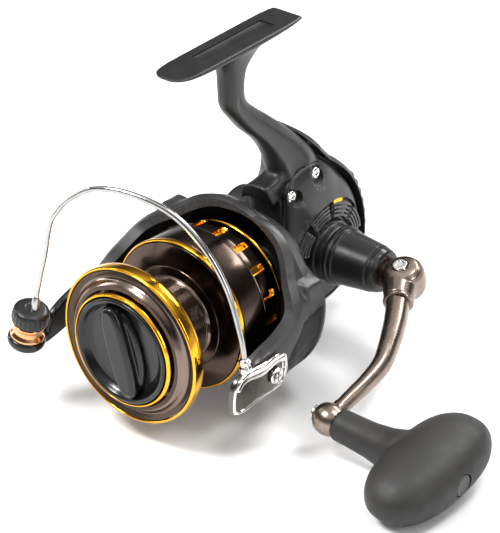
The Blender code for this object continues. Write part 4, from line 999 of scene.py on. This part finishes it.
def bail_arm():
    lever = plate("lever", smooth_path(LEVER, 6, closed=True), PIV_O, (0, -1, 0), N, 39.8, 43.0, 1.1)
    cup = lathe("cup", [(0, -7.6), (4.6, -7.6), (6.2, -7.0), (6.9, -5.8), (7.0, -4.6), (6.6, -3.5),
                        (6.2, -3.3), (0, -3.3)], ROLL, R_AX, 96, 0.3)
    ob = fuse([lever, cup], "lever_shell", 0.3, 6)
    bore(ob, [(0, 36), (1.9, 36), (1.9, 46), (0, 46)], PIV_O, -U, 48)
    bore(ob, [(0, -9), (2.7, -9), (2.7, -6), (1.4, -6), (1.4, -2), (0, -2)], ROLL, R_AX, 48)
    piece(ob, "black_gloss", "bail", ["bail_arm"], 40)
    screw_piece("head_bail_left", PIV_O - U * 43.3, -U, 3.2, 1.2, 1.6, 8.0, "bail",
                "bail_screw_left", 0.8)


def roller_parts():
    ob = lathe("roller", [(2.6, -3.0), (6.2, -3.0), (6.3, -2.7), (6.2, -2.2), (5.75, -1.5),
                          (5.4, -0.9), (5.2, 0), (5.4, 0.9), (5.8, 1.6), (6.0, 2.1), (6.0, 2.6),
                          (5.8, 2.8), (2.6, 2.8)], ROLL, R_AX, 96, 0.15)
    piece(ob, "copper", "roller", ["line_roller"])

    def grip(t, r, h):  # knurl round the cap
        return r - 0.22 * (0.5 + 0.5 * math.cos(24 * t)) if 4.2 < h < 8.6 else r

    dome = lathe("dome", [(0, 3.1), (5.8, 3.1), (6.6, 3.7), (6.85, 4.6), (6.9, 6.2), (6.75, 7.8),
                          (6.2, 8.9), (5.0, 9.5), (2.6, 9.75), (2.3, 9.6), (0, 9.6)],
                 ROLL, R_AX, 192, 0.3, grip)
    bore(dome, [(0, 1), (1.3, 1), (1.3, 6.6), (0, 6.6)], ROLL, R_AX, 32)
    piece(dome, "cone_black", "bail", ["roller_cap"])
    pin = lathe("pin", [(0, 6.2), (1.1, 6.2), (1.1, -6.3), (2.4, -6.3), (2.4, -7.2), (2.2, -7.4),
                        (1.0, -7.4), (0.9, -7.0), (0, -7.0)], ROLL, R_AX, 48, 0.1)
    piece(pin, "chrome", "bail", ["roller_screw"])


def bail_wire():
    path = smooth_path([bail_pt(*q) for q in WIRE], 16)

    def thickness(s):  # radius at s, 0 at the roller to 1 at the holder
        return 0.85 + 0.4 * step01((s - 0.35) / 0.4) - 0.25 * step01((s - 0.8) / 0.2)

    ob = tube("wire", path, thickness, 32)
    piece(ob, "chrome_wire", "bail", ["bail_wire"])
    ferrules = (
        ("ferrule", WIRE[-1], path[-12], "chrome",
         [(0, -3.0), (2.0, -3.0), (2.3, -2.4), (2.3, 0.0), (1.9, 0.6), (1.9, 1.2), (2.3, 1.7),
          (2.2, 2.8), (1.5, 3.4), (0, 3.4)]),
        ("ferrule_left", WIRE[0], path[10], "chrome_wire",
         [(0, -3.5), (1.6, -3.5), (1.7, -2.6), (1.5, 1.0), (1.2, 2.6), (0.95, 3.4), (0, 3.4)]))
    for name, end, ahead, look, profile in ferrules:
        foot = bail_pt(*end)
        piece(lathe(name, profile, foot, unit(ahead - foot), 64, 0.2), look, "bail", ())


def bail_holder():
    core = plate("holder_core", smooth_path(HOLDER, 6, closed=True), PIV_O, (0, -1, 0), -N, 39.8,
                 42.2, 0.6)
    bore(core, [(0, 36), (1.9, 36), (1.9, 46), (0, 46)], PIV_O, U, 48)
    piece(core, "plate_grey", "bail", ["bail_holder"], 30)
    rim = smooth_path([(u * 0.95, v * 0.93) for u, v in HOLDER], 8, closed=True)
    path = [PIV_O + U * 41.7 + np.array([0.0, -u, 0.0]) - N * v for u, v in rim]
    bead = tube("holder_rim", path, (0.95, 0.75), 20, U, closed=True)
    strap_uv = [(-5.2, -1.0), (-4.4, -5.0), (0.5, -6.1), (6.0, -5.0), (10.0, -5.6), (14.6, -6.4),
                (18.6, -5.8), (20.6, -3.4)]
    strap = [PIV_O + U * 42.2 + np.array([0.0, -u, 0.0]) - N * v for u, v in smooth_path(strap_uv, 8)]
    strap_ob = tube("strap", strap, lambda s: (0.9, 1.3 + 0.9 * math.sin(math.pi * s)), 24, U, True)
    piece(join([bead, strap_ob], "holder_chrome"), "chrome", "bail", (), 50)
    screw_piece("head_bail_right", PIV_O + U * 42.9, U, 3.2, 1.2, 1.6, 8.0, "bail",
                "bail_screw_right", 0.8)


# ---- carried-over CAD parts --------
INTERNALS = {
    "steel": ("drive_bearing_left", "drive_bearing_right", "pinion_bearing_front",
              "pinion_bearing_rear", "slider_guide_rod", "main_shaft", "drag_disc_inner",
              "drag_disc_outer", "drag_clip", "drag_spring", "knob_bearing_inner",
              "knob_bearing_outer"),
    "brass": ("pinion_gear", "drive_gear", "oscillation_gear", "spool_bush", "rotor_nut",
              "roller_bush"),
    "alloy": ("one_way_clutch", "oscillation_slider", "click_ratchet"),
    "felt": ("drag_felt_inner", "drag_felt_middle", "drag_felt_outer")}


def dress_internals():
    for look, nodes in INTERNALS.items():
        for node in nodes:
            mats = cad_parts[node].data.materials
            mats.clear()
            mats.append(MATS[look])


# ---- stage --------
def stage_floor():
    low = CAD_BOX[0][2]
    me = bpy.data.meshes.new("floor")
    s = 6.0  # half its width, in metres
    me.from_pydata([(-s, -s, low), (s, -s, low), (s, s, low), (-s, s, low)], [], [(0, 1, 2, 3)])
    bpy.context.scene.view_settings.view_transform = "Standard"
    floor = bpy.data.objects.new("floor", me)
    bpy.context.scene.collection.objects.link(floor)
    m = Mat("floor_paint", (0.86, 0.86, 0.86), 0.9, 0.0)
    m.tint(m.noise(3.0, 2.0), 0.01)
    me.materials.append(m.m)


def studio_sky():
    """Grey world: bright overhead and below, dark round the sides for the metal."""
    world = bpy.data.worlds.new("studio")
    bpy.context.scene.world = world
    world.use_nodes = True
    wt = world.node_tree
    bg = wt.nodes["Background"]
    bg.inputs["Strength"].default_value = 1.0
    sky = wt.nodes.new("ShaderNodeTexCoord")
    sep = wt.nodes.new("ShaderNodeSeparateXYZ")
    wt.links.new(sky.outputs["Generated"], sep.inputs["Vector"])
    fade = wt.nodes.new("ShaderNodeValToRGB")
    stops = ((0.0, 0.75), (0.10, 0.70), (0.22, 0.10), (0.42, 0.06), (0.62, 0.25), (0.80, 0.9))
    while len(fade.color_ramp.elements) < len(stops):
        fade.color_ramp.elements.new(0.5)
    for el, (pos, grey) in zip(fade.color_ramp.elements, stops):
        el.position = pos
        el.color = (grey, grey, grey, 1.0)
    wt.links.new(sep.outputs["Z"], fade.inputs["Fac"])
    wt.links.new(fade.outputs["Color"], bg.inputs["Color"])


LIGHTS = (("key", (-0.30, -0.60, 0.90), (0.34, 0.30), 15.0),
          ("right", (0.95, -0.05, 0.35), (0.16, 0.50), 3.0),
          ("left", (-0.90, -0.30, 0.30), (0.14, 0.60), 2.4),
          ("back", (0.1, 0.85, 0.60), (0.7, 0.18), 7.0),
          ("top", (0.35, 0.25, 1.0), (0.30, 0.30), 6.0))  # place and size in metres, watts


def lights():
    for name, loc, size, power in LIGHTS:
        data = bpy.data.lights.new(name, "AREA")
        data.shape = "RECTANGLE"
        data.size, data.size_y = size
        data.energy = power
        ob = bpy.data.objects.new(name, data)
        ob.location = loc
        aim = Vector((0.0, 0.0, -0.07)) - Vector(loc)
        ob.rotation_euler = aim.to_track_quat("-Z", "Y").to_euler()
        bpy.context.scene.collection.objects.link(ob)


# ---- camera and making --------
LENS, SENSOR = 202.627, 36.0


def camera():
    az, el, roll = math.radians(39.12), math.radians(29.87), -0.01059
    right = np.array([math.cos(az), math.sin(az), 0.0])
    back = np.array([math.sin(az) * math.cos(el), -math.cos(az) * math.cos(el), math.sin(el)])
    up = np.cross(back, right)
    c, s = math.cos(roll), math.sin(roll)
    rows = [c * right + s * up, -s * right + c * up, back]
    aside, below, away = 7.286, 77.265, 1037.43  # from the foot's centre, mm
    loc = aside * rows[0] - below * rows[1] + away * rows[2]
    data = bpy.data.cameras.new("camera")
    data.lens, data.sensor_width = LENS, SENSOR
    ob = bpy.data.objects.new("camera", data)
    mat = Matrix([[rows[0][i], rows[1][i], rows[2][i], loc[i] * MM] for i in range(3)]
                 + [[0.0, 0.0, 0.0, 1.0]])
    ob.matrix_world = mat
    bpy.context.scene.collection.objects.link(ob)
    bpy.context.scene.camera = ob


for make in (camera, body_housing, side_cover, gear_cap, rear_bumper, trims, handle_cone,
             handle_arm, handle_knob, spool, slot_liners, spool_rings, drag_knob, rotor,
             bail_arm, roller_parts, bail_wire, bail_holder, dress_internals, stage_floor,
             studio_sky, lights):
    make()
